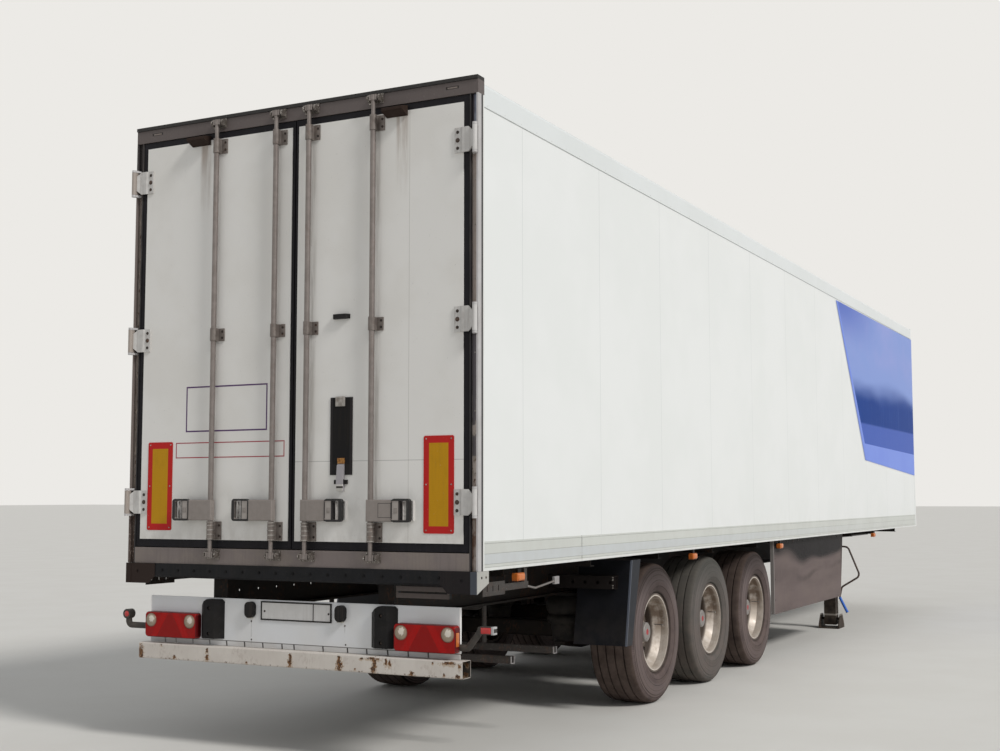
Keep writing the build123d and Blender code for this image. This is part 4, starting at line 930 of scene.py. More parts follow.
class Shape:
    """Faces gathered in measured millimetres until they become one piece."""

    def __init__(self) -> None:
        """Starts with no faces."""
        self.mesh = bmesh.new()

    def block(self, low: Spot, high: Spot, round_mm: float, steps: int = 2) -> "Shape":
        """Adds a block between two corners.

        Args:
            low: Lowest corner.
            high: Highest corner.
            round_mm: Radius of its edges; 0 leaves them sharp.
            steps: Faces across each edge.
        """
        low_v, high_v = Vector(low), Vector(high)
        place = Matrix.Translation((low_v + high_v) / 2) @ Matrix.Diagonal((*(high_v - low_v), 1))
        made = bmesh.ops.create_cube(self.mesh, size=1, matrix=place)
        if round_mm:
            edges = {edge for vert in made["verts"] for edge in vert.link_edges}
            bmesh.ops.bevel(self.mesh, geom=list(edges), offset=round_mm, segments=steps,
                            profile=0.5, affect="EDGES", clamp_overlap=True)
        return self

    def prism(self, outline: list[Flat], along: Axis, span: Flat) -> "Shape":
        """Adds an outline carried along an axis.

        Args:
            outline: Corners in the other two axes, in their order.
            along: Axis that it is carried along.
            span: Where it starts and ends.
        """
        ends = [[self.mesh.verts.new(lift(flat, far, along)) for flat in outline] for far in span]
        self.mesh.faces.new(list(reversed(ends[0])))
        self.mesh.faces.new(ends[1])
        self.bridge(ends)
        return self

    def bridge(self, rings: list[list]) -> None:
        """Joins each ring of points to the next; a ring of one point closes an end."""
        for first, second in zip(rings, rings[1:]):
            steps = max(len(first), len(second))
            for i in range(steps):
                j = (i + 1) % steps
                corners = (first[i % len(first)], first[j % len(first)],
                           second[j % len(second)], second[i % len(second)])
                unique = list(dict.fromkeys(corners))
                if len(unique) > 2:
                    self.mesh.faces.new(unique)

    def turned(self, profile: list[Flat], centre: Spot, along: Axis, steps: int) -> "Shape":
        """Adds a profile turned about an axis.

        Args:
            profile: Radius and distance along the axis; a radius of 0 closes an end.
            centre: Place of the profile's zero.
            along: Axis that it turns about.
            steps: Faces round it.
        """
        rings = []
        for radius, far in profile:
            places = circle(centre, radius, steps if radius else 1, along, far)
            rings.append([self.mesh.verts.new(place) for place in places])
        self.bridge(rings)
        return self

    def tube(self, path: list[Spot], radius_mm: float, sides: int = 10) -> "Shape":
        """Adds a round rod along a path, closed at both ends."""
        rings = []
        points = [Vector(p) for p in path]
        for i, point in enumerate(points):
            ahead = (points[min(i + 1, len(points) - 1)] - points[max(i - 1, 0)]).normalized()
            across = ahead.cross(Vector((0.3, 0.2, 1))).normalized()
            up = ahead.cross(across)
            turns = (math.tau * k / sides for k in range(sides))
            spokes = (across * math.cos(turn) + up * math.sin(turn) for turn in turns)
            rings.append([self.mesh.verts.new(point + radius_mm * spoke) for spoke in spokes])
        self.bridge(rings)
        self.mesh.faces.new(list(reversed(rings[0])))
        self.mesh.faces.new(rings[-1])
        return self

    def flipped(self, side: Side) -> "Shape":
        """Moves the faces to the right side if that is asked."""
        if side is Side.RIGHT:
            bmesh.ops.scale(self.mesh, vec=(1, -1, 1), verts=self.mesh.verts)
            bmesh.ops.reverse_faces(self.mesh, faces=self.mesh.faces)
        return self

    def sided(self, name: str, side: Side, material: Material, slot: str,
              body: str = "chassis") -> None:
        """Turns faces given for the left to the piece of either side, named for it."""
        self.flipped(side).piece(f"{name}_{side.label}", material, slot, body)

    def piece(self, name: str, material: Material, slot: str, body: str = "chassis") -> None:
        """Turns the faces to a finished piece that rides on a body.

        Args:
            name: The piece's name.
            material: Its material.
            slot: Not used.
            body: Body that carries it.
        """
        shade(self.mesh, merge=0.01, sharp_degrees=35)
        for vert in self.mesh.verts:
            vert.co = metres(vert.co)
        mesh = bpy.data.meshes.new(name)
        self.mesh.to_mesh(mesh)
        self.mesh.free()
        settle(name, mesh, material, body)


def shade(mesh: bmesh.types.BMesh, merge: float, sharp_degrees: float) -> None:
    """Merges doubled points, turns the faces outwards and smooths all but the sharp edges.

    Args:
        mesh: The faces.
        merge: Distance within which points are merged, in the mesh's own unit.
        sharp_degrees: Angle past which an edge stays sharp.
    """
    bmesh.ops.remove_doubles(mesh, verts=mesh.verts, dist=merge)
    bmesh.ops.recalc_face_normals(mesh, faces=mesh.faces)
    for edge in mesh.edges:
        edge.smooth = edge.calc_face_angle(0.0) < math.radians(sharp_degrees)
    for face in mesh.faces:
        face.smooth = True


def settle(name: str, mesh: bpy.types.Mesh, material: Material,
           body: str) -> bpy.types.Object:
    """Makes an object of a mesh, dresses it and lets it ride on a body."""
    thing = bpy.data.objects.new(name, mesh)
    bpy.context.scene.collection.objects.link(thing)
    if material.name not in mesh.materials:
        mesh.materials.clear()
        mesh.materials.append(material)
    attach(thing, body)
    log.info("made %s on %s, %d faces", name, body, len(mesh.polygons))
    return thing


class Seeds:
    """Points with a direction each, on which a node tree stands its pieces."""

    def __init__(self) -> None:
        """Starts with no points."""
        self.places: list[Vector] = []
        self.facing: list[Spot] = []

    def one(self, place: Spot, facing: Spot) -> "Seeds":
        """Adds a point at a measured place."""
        self.places.append(metres(place))
        self.facing.append(facing)
        return self

    def row(self, start: Spot, end: Spot, count: int, facing: Spot) -> "Seeds":
        """Adds evenly spaced points between two places, both ends included."""
        a, b = Vector(start), Vector(end)
        return self.all((tuple(a.lerp(b, i / (count - 1))) for i in range(count)), facing)

    def all(self, places: Iterable[Spot], facing: Spot) -> "Seeds":
        """Adds points at measured places, all with the same direction."""
        for place in places:
            self.one(place, facing)
        return self

    def mesh(self) -> bpy.types.Mesh:
        """The points as a mesh with their directions in the facing attribute."""
        made = bpy.data.meshes.new("seeds")
        made.from_pydata([tuple(p) for p in self.places], [], [])
        facing = made.attributes.new("facing", "FLOAT_VECTOR", "POINT")
        facing.data.foreach_set("vector", [v for spot in self.facing for v in spot])
        return made


class Pattern:
    """A geometry node tree with named inputs, run once for each body."""

    KINDS = {int: "NodeSocketInt", float: "NodeSocketFloat", tuple: "NodeSocketVector"}

    def __init__(self, name: str, **inputs: int | float | Spot) -> None:
        """Makes the tree's frame.

        Args:
            name: The tree's name.
            **inputs: Defaults by name, with _ for a space; their kinds give the sockets'.
        """
        self.tree = bpy.data.node_groups.new(name, "GeometryNodeTree")
        self.tree.interface.new_socket("Geometry", in_out="INPUT", socket_type="NodeSocketGeometry")
        for key, value in inputs.items():
            socket = self.tree.interface.new_socket(key.replace("_", " "), in_out="INPUT",
                                                    socket_type=self.KINDS[type(value)])
            socket.default_value = value
        self.tree.interface.new_socket("Finish", in_out="INPUT", socket_type="NodeSocketMaterial")
        self.tree.interface.new_socket("Geometry", in_out="OUTPUT",
                                       socket_type="NodeSocketGeometry")
        self.given = add(self.tree, "NodeGroupInput")

    def close(self, geometry: Socket) -> "Pattern":
        """Ends the tree in real faces with the given finish."""
        real = add(self.tree, "GeometryNodeRealizeInstances", {0: geometry})[0]
        dressed = add(self.tree, "GeometryNodeSetMaterial",
                      {"Geometry": real, "Material": self.given["Finish"]})[0]
        add(self.tree, "NodeGroupOutput", {0: dressed})
        return self

    def grow(self, name: str, seed: bpy.types.Mesh, material: Material, slot: str,
             body: str = "chassis", **values: float) -> bpy.types.Object:
        """Runs the tree on a mesh and settles what comes out.

        Args:
            name: The piece's name.
            seed: Mesh that the tree starts from.
            material: Finish of the piece.
            slot: Not used.
            body: Body that carries it.
            **values: Inputs by name, with _ for a space.

        Returns:
            The piece.
        """
        carrier = bpy.data.objects.new(name + "_seed", seed)
        bpy.context.scene.collection.objects.link(carrier)
        modifier = carrier.modifiers.new("pattern", "NODES")
        modifier.node_group = self.tree
        wanted = {key.replace("_", " "): value for key, value in values.items()}
        wanted["Finish"] = material
        for item in self.tree.interface.items_tree:
            if item.item_type == "SOCKET" and item.in_out == "INPUT" and item.name in wanted:
                modifier[item.identifier] = wanted[item.name]
        evaluated = carrier.evaluated_get(bpy.context.evaluated_depsgraph_get())
        mesh = bpy.data.meshes.new_from_object(evaluated)
        mesh.name = name
        carrier.modifiers.remove(modifier)
        bpy.data.objects.remove(carrier)
        return settle(name, mesh, material, body)


def fastener_pattern() -> Pattern:
    """A tree that stands a head and its washer on every point, turned at random."""
    head_taper, washer_taper, washer_sides, washer_depth = 0.8, 0.93, 14, 0.0018
    full_roll = 1.05
    pattern = Pattern("fastener heads", Sides=6, Head_radius=0.0085, Head_height=0.006,
                      Washer_radius=0.012, Seed=7)
    tree, given = pattern.tree, pattern.given
    top = add(tree, MATH, {0: given["Head radius"], 1: head_taper}, operation="MULTIPLY")[0]
    head = add(tree, "GeometryNodeMeshCone",
               {"Vertices": given["Sides"], "Radius Top": top,
                "Radius Bottom": given["Head radius"], "Depth": given["Head height"]})
    rim = add(tree, MATH, {0: given["Washer radius"], 1: washer_taper}, operation="MULTIPLY")[0]
    washer = add(tree, "GeometryNodeMeshCone",
                 {"Vertices": washer_sides, "Radius Top": rim,
                  "Radius Bottom": given["Washer radius"], "Depth": washer_depth})
    both = add(tree, "GeometryNodeJoinGeometry", {0: [head[0], washer[0]]})
    facing = add(tree, "GeometryNodeInputNamedAttribute", {"Name": "facing"},
                 data_type="FLOAT_VECTOR")[0]
    aligned = add(tree, "FunctionNodeAlignRotationToVector", {"Vector": facing}, axis="Z")[0]
    stood = add(tree, "GeometryNodeInstanceOnPoints",
                {"Points": given["Geometry"], "Instance": both[0], "Rotation": aligned})[0]
    roll = add(tree, "FunctionNodeRandomValue", {2: 0.0, 3: full_roll, "Seed": given["Seed"]})[1]
    spin = add(tree, COMBINE, {2: roll})[0]
    turned = add(tree, "GeometryNodeRotateInstances", {"Instances": stood, "Rotation": spin})[0]
    return pattern.close(turned)


def slat_pattern() -> Pattern:
    """A tree that lays a round-edged slat along Y on every point, tilted, then turned about Z."""
    pattern = Pattern("slats", Length=1.0, Width=0.03, Thickness=0.003, Rounding=0.001, Tilt=0.0,
                      Heading=0.0)
    tree, given = pattern.tree, pattern.given
    halves = [add(tree, MATH, {0: given["Length"], 1: part}, operation="MULTIPLY")[0]
              for part in (-0.5, 0.5)]
    start, end = (add(tree, COMBINE, {1: half})[0] for half in halves)
    line = add(tree, "GeometryNodeCurvePrimitiveLine", {"Start": start, "End": end})[0]
    section = add(tree, "GeometryNodeCurvePrimitiveQuadrilateral",
                  {"Width": given["Width"], "Height": given["Thickness"]})[0]
    eased = add(tree, "GeometryNodeFilletCurve",
                {"Curve": section, "Radius": given["Rounding"], "Count": 3}, mode="POLY")
    slat = add(tree, "GeometryNodeCurveToMesh",
               {"Curve": line, "Profile Curve": eased[0], "Fill Caps": True})
    turn = add(tree, COMBINE, {1: given["Tilt"], 2: given["Heading"]})[0]
    laid = add(tree, "GeometryNodeInstanceOnPoints",
               {"Points": given["Geometry"], "Instance": slat[0], "Rotation": turn})[0]
    return pattern.close(laid)


def tyre_pattern() -> Pattern:
    """A tree that turns a cross-section about Y and notches the shoulder blocks by rule.

    The section comes in as a row of points: radius in X, width in Y and the notch depth in Z.
    """
    pattern = Pattern("tyre", Steps=240, Points=40,
                      Notches=60.0, Centre=(0.0, 0.0, 0.0))
    tree, given = pattern.tree, pattern.given
    columns = add(tree, MATH, {0: given["Steps"], 1: 1.0}, operation="ADD")[0]
    grid = add(tree, "GeometryNodeMeshGrid", {"Size X": 1.0, "Size Y": 1.0, "Vertices X": columns,
                                              "Vertices Y": given["Points"]})
    index = add(tree, "GeometryNodeInputIndex")[0]
    share = add(tree, MATH, {0: index, 1: given["Points"]}, operation="DIVIDE")[0]
    column = add(tree, MATH, {0: share}, operation="FLOOR")[0]
    row = add(tree, MATH, {0: index, 1: given["Points"]}, operation="MODULO")[0]
    spot = add(tree, "GeometryNodeInputPosition")[0]
    sample = add(tree, "GeometryNodeSampleIndex",
                 {"Geometry": given["Geometry"], "Value": spot, "Index": row},
                 data_type="FLOAT_VECTOR")[0]
    parts = add(tree, SEPARATE, {0: sample})
    part = add(tree, MATH, {0: column, 1: given["Steps"]}, operation="DIVIDE")[0]
    angle = add(tree, MATH, {0: part, 1: math.tau}, operation="MULTIPLY")[0]
    beat = add(tree, MATH, {0: part, 1: given["Notches"]}, operation="MULTIPLY")[0]
    beat = add(tree, MATH, {0: beat}, operation="FRACT")[0]
    gap = add(tree, MATH, {0: beat, 1: NOTCH_SHARE}, operation="LESS_THAN")[0]
    cut = add(tree, MATH, {0: gap, 1: parts[2]}, operation="MULTIPLY")[0]
    radius = add(tree, MATH, {0: parts[0], 1: cut}, operation="SUBTRACT")[0]
    cosine = add(tree, MATH, {0: angle}, operation="COSINE")[0]
    sine = add(tree, MATH, {0: angle}, operation="SINE")[0]
    x = add(tree, MATH, {0: radius, 1: cosine}, operation="MULTIPLY")[0]
    z = add(tree, MATH, {0: radius, 1: sine}, operation="MULTIPLY")[0]
    place = add(tree, COMBINE, {0: x, 1: parts[1], 2: z})[0]
    moved = add(tree, VECTOR_MATH, {0: place, 1: given["Centre"]}, operation="ADD")[0]
    kept = add(tree, "GeometryNodeStoreNamedAttribute", {
        "Geometry": grid["Mesh"], "Name": "UVMap", "Value": grid["UV Map"]},
        data_type="FLOAT2", domain="CORNER")[0]
    shaped = add(tree, "GeometryNodeSetPosition", {"Geometry": kept, "Position": moved})[0]
    closed = add(tree, "GeometryNodeMergeByDistance", {"Geometry": shaped, "Distance": 0.0001})[0]
    return pattern.close(closed)


# ---- Sub-assemblies


@dataclass
class Studio:
    """Camera at the photograph's place, soft light and a pale floor."""

    eye: Spot = (-13.7959, -4.9591, 1.5633)
    yaw: float = 27.1722
    pitch: float = 5.1332
    roll: float = -0.0621
    lens: float = 48.81
    sensor_mm: float = 36
    farthest: float = 400
    floor_tone: str = "#d6d4cf"
    floor_reach: float = 220.0
    sky: float = 0.46
    sky_tone: str = "#f4f7fb"
    backdrop_tone: str = "#eceae6"
    key: float = 1.95
    key_degrees: float = 14
    key_tone: Spot = (1.0, 0.985, 0.96)
    key_from: Spot = (-0.28, -1.0, 0.9)

    def camera(self) -> None:
        """Sets the camera as it stood for the photograph."""
        yaw, pitch, roll = (math.radians(v) for v in (self.yaw, self.pitch, self.roll))
        ahead = Vector((math.cos(pitch) * math.cos(yaw), math.cos(pitch) * math.sin(yaw),
                        math.sin(pitch)))
        right = ahead.cross(Vector((0, 0, 1))).normalized()
        up = right.cross(ahead)
        across = right * math.cos(roll) + up * math.sin(roll)
        upright = up * math.cos(roll) - right * math.sin(roll)
        data = bpy.data.cameras.new("camera")
        data.lens = self.lens
        data.sensor_width = self.sensor_mm
        data.sensor_fit = "HORIZONTAL"
        data.clip_end = self.farthest
        camera = bpy.data.objects.new("camera", data)
        turned = Matrix((across, upright, -ahead)).transposed().to_4x4()
        camera.matrix_world = Matrix.Translation(self.eye) @ turned
        bpy.context.scene.collection.objects.link(camera)
        bpy.context.scene.camera = camera

    def light(self) -> None:
        """Hangs an even white sky and one broad sun on the trailer's right."""
        world = bpy.data.worlds.new("sky")
        world.use_nodes = True
        tree = world.node_tree
        tree.nodes.clear()
        path = add(tree, "ShaderNodeLightPath")
        seen = add(tree, MATH, {0: path["Is Camera Ray"], 1: path["Is Transmission Ray"]},
                   operation="MAXIMUM")[0]
        seen = add(tree, MATH, {0: seen, 1: path["Is Glossy Ray"]}, operation="MAXIMUM")[0]
        even = add(tree, "ShaderNodeBackground",
                   {"Color": linear(self.sky_tone), "Strength": self.sky})[0]
        plain = add(tree, "ShaderNodeBackground",
                    {"Color": linear(self.backdrop_tone), "Strength": 1.0})[0]
        mixed = add(tree, "ShaderNodeMixShader", {0: seen, 1: even, 2: plain})[0]
        add(tree, "ShaderNodeOutputWorld", {0: mixed})
        bpy.context.scene.world = world
        data = bpy.data.lights.new("key", "SUN")
        data.energy = self.key
        data.angle = math.radians(self.key_degrees)
        data.color = self.key_tone
        lamp = bpy.data.objects.new("key", data)
        lamp.matrix_world = Vector(self.key_from).to_track_quat("Z", "Y").to_matrix().to_4x4()
        bpy.context.scene.collection.objects.link(lamp)
        bpy.context.scene.view_settings.view_transform = "Standard"

    def floor(self) -> None:
        """Lays a wide pale floor that keeps the trailer's shadow."""
        surface = Surface("cast concrete, pale", self.floor_tone, 0.9)
        surface.cover(surface.patches(900, 0.5, 0.15), "#cfccc6", amount=0.35)
        material = surface.done()
        mesh = bpy.data.meshes.new("floor")
        reach = self.floor_reach
        mesh.from_pydata([(-reach, -reach, 0), (reach, -reach, 0), (reach, reach, 0),
                          (-reach, reach, 0)], [], [(0, 1, 2, 3)])
        mesh.materials.append(material)
        ground = bpy.data.objects.new("floor", mesh)
        bpy.context.scene.collection.objects.link(ground)

    def build(self) -> None:
        """Sets up all of it."""
        self.camera()
        self.light()
        self.floor()
        log.info("studio ready")


@dataclass
class Workshop:
    """The finishes and node trees that the sub-assemblies share."""

    zinc: Material = field(init=False)
    black_steel: Material = field(init=False)
    dark_bolt: Material = field(init=False)
    brown_bolt: Material = field(init=False)
    tongue: Material = field(init=False)
    bright_rivet: Material = field(init=False)
    fasteners: Pattern = field(init=False)
    slats: Pattern = field(init=False)
    tyres: Pattern = field(init=False)

    def __post_init__(self) -> None:
        """Builds each of them once."""
        # Hot-dip zinc: grey, half matt and cloudy where it has dulled.
        self.zinc = Finish("zinc plated steel", "#aaa6a1", 0.42, 0.7, "#7d7771", 40, 0.7, 2, 0.05,
                           rain=0.3, rust=0.35).material()
        # Black enamel on steel: thin gloss worn through at its edges.
        self.black_steel = Finish("black enamelled steel", "#1d1b1b", 0.45, 0.0, "#2b2725", 90, 0.7,
                                  wear=0.3, wear_tone="#5d564f", rain=0.2, dust=0.3,
                                  dust_top_mm=1250).material()
        # Bolts gone brown: rougher and warmer than the blackened ones.
        self.brown_bolt = Finish("rusted steel bolts", "#463c37", 0.6, 0.3, "#5c4c42", 12, 0.6,
                                 rust=0.4).material()
        # Enamel on the levers' tongues: grey and satin.
        self.tongue = Finish("grey enamel on steel", "#8f8883", 0.42, 0.2, "#7b746f", 20, 0.6, 2,
                             0.05, wear=0.3).material()
        # Blackened bolts with a trace of rust.
        self.dark_bolt = Finish("blackened steel bolts", "#2f2b29", 0.5, 0.6, "#4b4039", 12, 0.6,
                                rust=0.5).material()
        # Aluminium rivets under the body paint: nearly white.
        self.bright_rivet = Finish("painted aluminium rivets", "#d2d3cf", 0.4, 0.1, "#b5b2aa", 30,
                                   0.5).material()
        self.fasteners = fastener_pattern()
        self.slats = slat_pattern()
        self.tyres = tyre_pattern()

    def heads(self, name: str, seeds: Seeds, head: Head, material: Material, slot: str,
              scale: float = 1.0, body: str = "chassis") -> None:
        """Stands fastener heads on points.

        Args:
            name: The piece's name.
            seeds: Where they stand.
            head: Kind of head.
            material: Their finish.
            slot: Not used; it is only passed on to the pattern.
            scale: Size against the usual one.
            body: Body that carries them.
        """
        sides, *sizes = head.value
        radius, height, washer = (size * scale / 1000 for size in sizes)
        self.fasteners.grow(name, seeds.mesh(), material, slot, body, Sides=sides,
                            Head_radius=radius, Head_height=height, Washer_radius=washer)


@dataclass
class BoxBody:
    """White insulated walls, roof and rails, with the graphic on each side."""

    workshop: Workshop
    seams: tuple[float, ...] = (592, 1810, 3010, 4207, 5420, 6630, 7840, 9050, 10260, 11470, 12680)
    grooves: tuple[float, ...] = (1160, 1178, 1238, 1297)
    rail_joint: float = 1464
    graphic: tuple[Flat, ...] = ((8834, 3844), (10198, 2019), (13444, 1872), (13471, 3854))
    film_mm: float = 0.6
    band_mm: float = 150
    foot_mm: Flat = (205, 300)
    wall_y: float = 1300
    inner_y: float = 1236
    floor_top: float = 1243
    hold: Flat = (110, 13400)
    rivet_ends: Flat = (120, 13380)
    rivet_rows: tuple[tuple[float, int], ...] = ((1302, 90), (3876, 60))
    socket_y: tuple[float, ...] = (-250, 0, 250)
    coupling_y: Flat = (-125, 125)
    coupling_z: float = 1332

    def dress_walls(self) -> None:
        """Gel coat on walls, front and roof, extruded rails along their edges."""
        # Gel coat on glass fibre: white, half glossy and even, so it reads as one clean sheet.
        dress(PanelPaint("gel coat on glass fibre panel", "#eceeed", 0.34, 0.0, "#e6e9e7", 900, 0.5,
                         4, 0.015, dust=0.12, dust_top_mm=1700, dust_tone="#a39a8d",
                         seams=self.seams), "wall_left", "wall_right", "front_wall", "roof")
        # White powder coat on extruded aluminium: a touch duller than the panel, finely grooved.
        dress(GroovedRail("powder coated aluminium rail", "#e3e7e7", 0.38, 0.0, "#dde1e0", 600, 0.5,
                          3, 0.03, grooves=(3861, 3998)), "cant_rails")
        # Anodised aluminium: silvery white, with fine dull lines along it and a little road film.
        dress(GroovedRail("anodised aluminium base rail", "#d2d5d0", 0.36, 0.1, "#c8cbc6", 900, 0.5,
                          3, 0.04, dust=0.2, dust_top_mm=1700, dust_tone="#a79d90",
                          grooves=self.grooves, joints=(self.rail_joint,)), "base_rails")
        # Bare aluminium planks: grey, half glossy, scuffed bright where pallets slide.
        self.planks = dress(Finish("ribbed aluminium planks", "#a5a6a4", 0.38, 0.85, "#8b8c89", 160,
                                   0.6, 2, 0.08, wear=0.5), "floor")

    def graphics(self) -> None:
        """Blue film on each side, with a paler band along its rear and lower edges."""
        # Cast vinyl film: smooth and glossy, deep blue low down and paler above, where a reflection
        # is painted in.
        field_blue = PaintedReflectionFilm("glossy blue vinyl film", "#0a3c8c", 0.22, 0.0, "#114294", 900,
                                  0.5, 4, 0.01, shader=(("Specular_IOR_Level", 0.004),)).material()
        # The same film in a lighter ink: it edges the field like a bright rim.
        band_blue = Finish("glossy pale blue vinyl film", "#849be9", 0.22, 0.0, "#7b91e4", 900, 0.4,
                           4, 0.01, shader=(("Specular_IOR_Level", 0.004),)).material()
        (ax, az), (bx, bz), (cx, cz), (dx, dz) = self.graphic
        edge_mm, (near, far) = self.band_mm, self.foot_mm
        slope = (bx - ax) / (bz - az)
        inner = [(ax + edge_mm * 0.5, az), (bx + edge_mm * 0.9 + slope * near, bz + near),
                 (cx, cz + far), (dx, dz)]
        band = [(ax, az), (bx, bz), (cx, cz), inner[2], inner[1], inner[0]]
        sheet = (self.wall_y, self.wall_y + self.film_mm)
        for side in Side:
            for name, outline, film in (("field", inner, field_blue), ("band", band, band_blue)):
                Shape().prism(outline, Axis.Y, sheet).sided("graphic_" + name, side, film,
                                                            "body_white")

    def rivets(self) -> None:
        """Rivets along the rails, the joints and the roof's edge."""
        seeds, (start, end) = Seeds(), self.rivet_ends
        for side in Side:
            y = self.wall_y * side.value
            for z, count in self.rivet_rows:
                seeds.row((start, y, z), (end, y, z), count, (0, side.value, 0))
            for x in (self.rail_joint - 16, self.rail_joint + 16):
                seeds.row((x, y, 1166), (x, y, 1290), 5, (0, side.value, 0))
        self.workshop.heads("body_rivets", seeds, Head.RIVET, self.workshop.bright_rivet,
                            "body_white", 0.7)

    def inside(self) -> None:
        """Floor ribs, kick plates along the walls and their rivets, seen with the doors open."""
        start, end = self.hold
        middle, top, ribs = (start + end) / 2, self.floor_top + 6, 49
        seeds = Seeds().row((middle, -1200, top), (middle, 1200, top), ribs, (0, 0, 1))
        self.workshop.slats.grow("floor_ribs", seeds.mesh(), self.planks, "floor_alloy",
                                 Length=(end - start) / 1000, Width=0.022, Thickness=0.012,
                                 Rounding=0.002, Heading=math.pi / 2)
        # Rolled aluminium sheet: brighter than the lining and scored along its length.
        scored = Finish("scored aluminium kick plate", "#b5b5b2", 0.4, 0.7, "#8f8f8c", 60, 0.6, 2,
                        0.06, wear=0.6).material()
        heads = Seeds()
        for side in Side:
            y, s = self.inner_y, side.value
            low, high = (start, y - 4, self.floor_top + 14), (end, y + 1, 1520)
            Shape().block(low, high, 1.2).sided("kick_plate", side, scored, "floor_alloy")
            at = (y - 4) * s
            heads.row((start + 40, at, 1500), (end - 40, at, 1500), 60, (0, -s, 0))
        self.workshop.heads("kick_plate_rivets", heads, Head.RIVET, self.workshop.bright_rivet,
                            "floor_alloy", 1.2)

    def couplings(self) -> None:
        """Caps over the sockets and flanges round the air couplings on the front wall."""
        # Moulded black plastic: dull, with greyed edges.
        black = Finish("moulded black plastic cap", "#1e1d1e", 0.5, 0.0, "#2c2a2a", 30, 0.5, 2,
                       0.06, dust=0.2, dust_top_mm=1600).material()
        caps, cap = Shape(), [(0, 6), (30, 6), (37, 3), (38, -4), (36.5, -6), (0, -6)]
        for y in self.socket_y:
            caps.turned(cap, (13564, y, self.coupling_z), Axis.X, 28)
            caps.block((13540, y - 9, 1364), (13568, y + 9, 1380), 2)
        caps.piece("socket_caps", black, "body_white")
        rings, ring = Shape(), [(23, -3), (29, -2), (30, 2), (23, 3), (23, -3)]
        for y, x in product(self.coupling_y, (13532, 13566)):
            rings.turned(ring, (x, y, self.coupling_z), Axis.X, 28)
        rings.piece("coupling_rings", self.workshop.zinc, "body_white")
        columns = (-300, -188, -62, 62, 188, 300)
        bolts = Seeds().all(product((13528.3,), columns, (1246, 1418)), (1, 0, 0))
        self.workshop.heads("coupling_panel_bolts", bolts, Head.BOLT, self.workshop.zinc,
                            "body_white", 0.7)

    def build(self) -> None:
        """Makes the box body's looks."""
        self.dress_walls()
        self.graphics()
        self.rivets()
        self.inside()
        self.couplings()


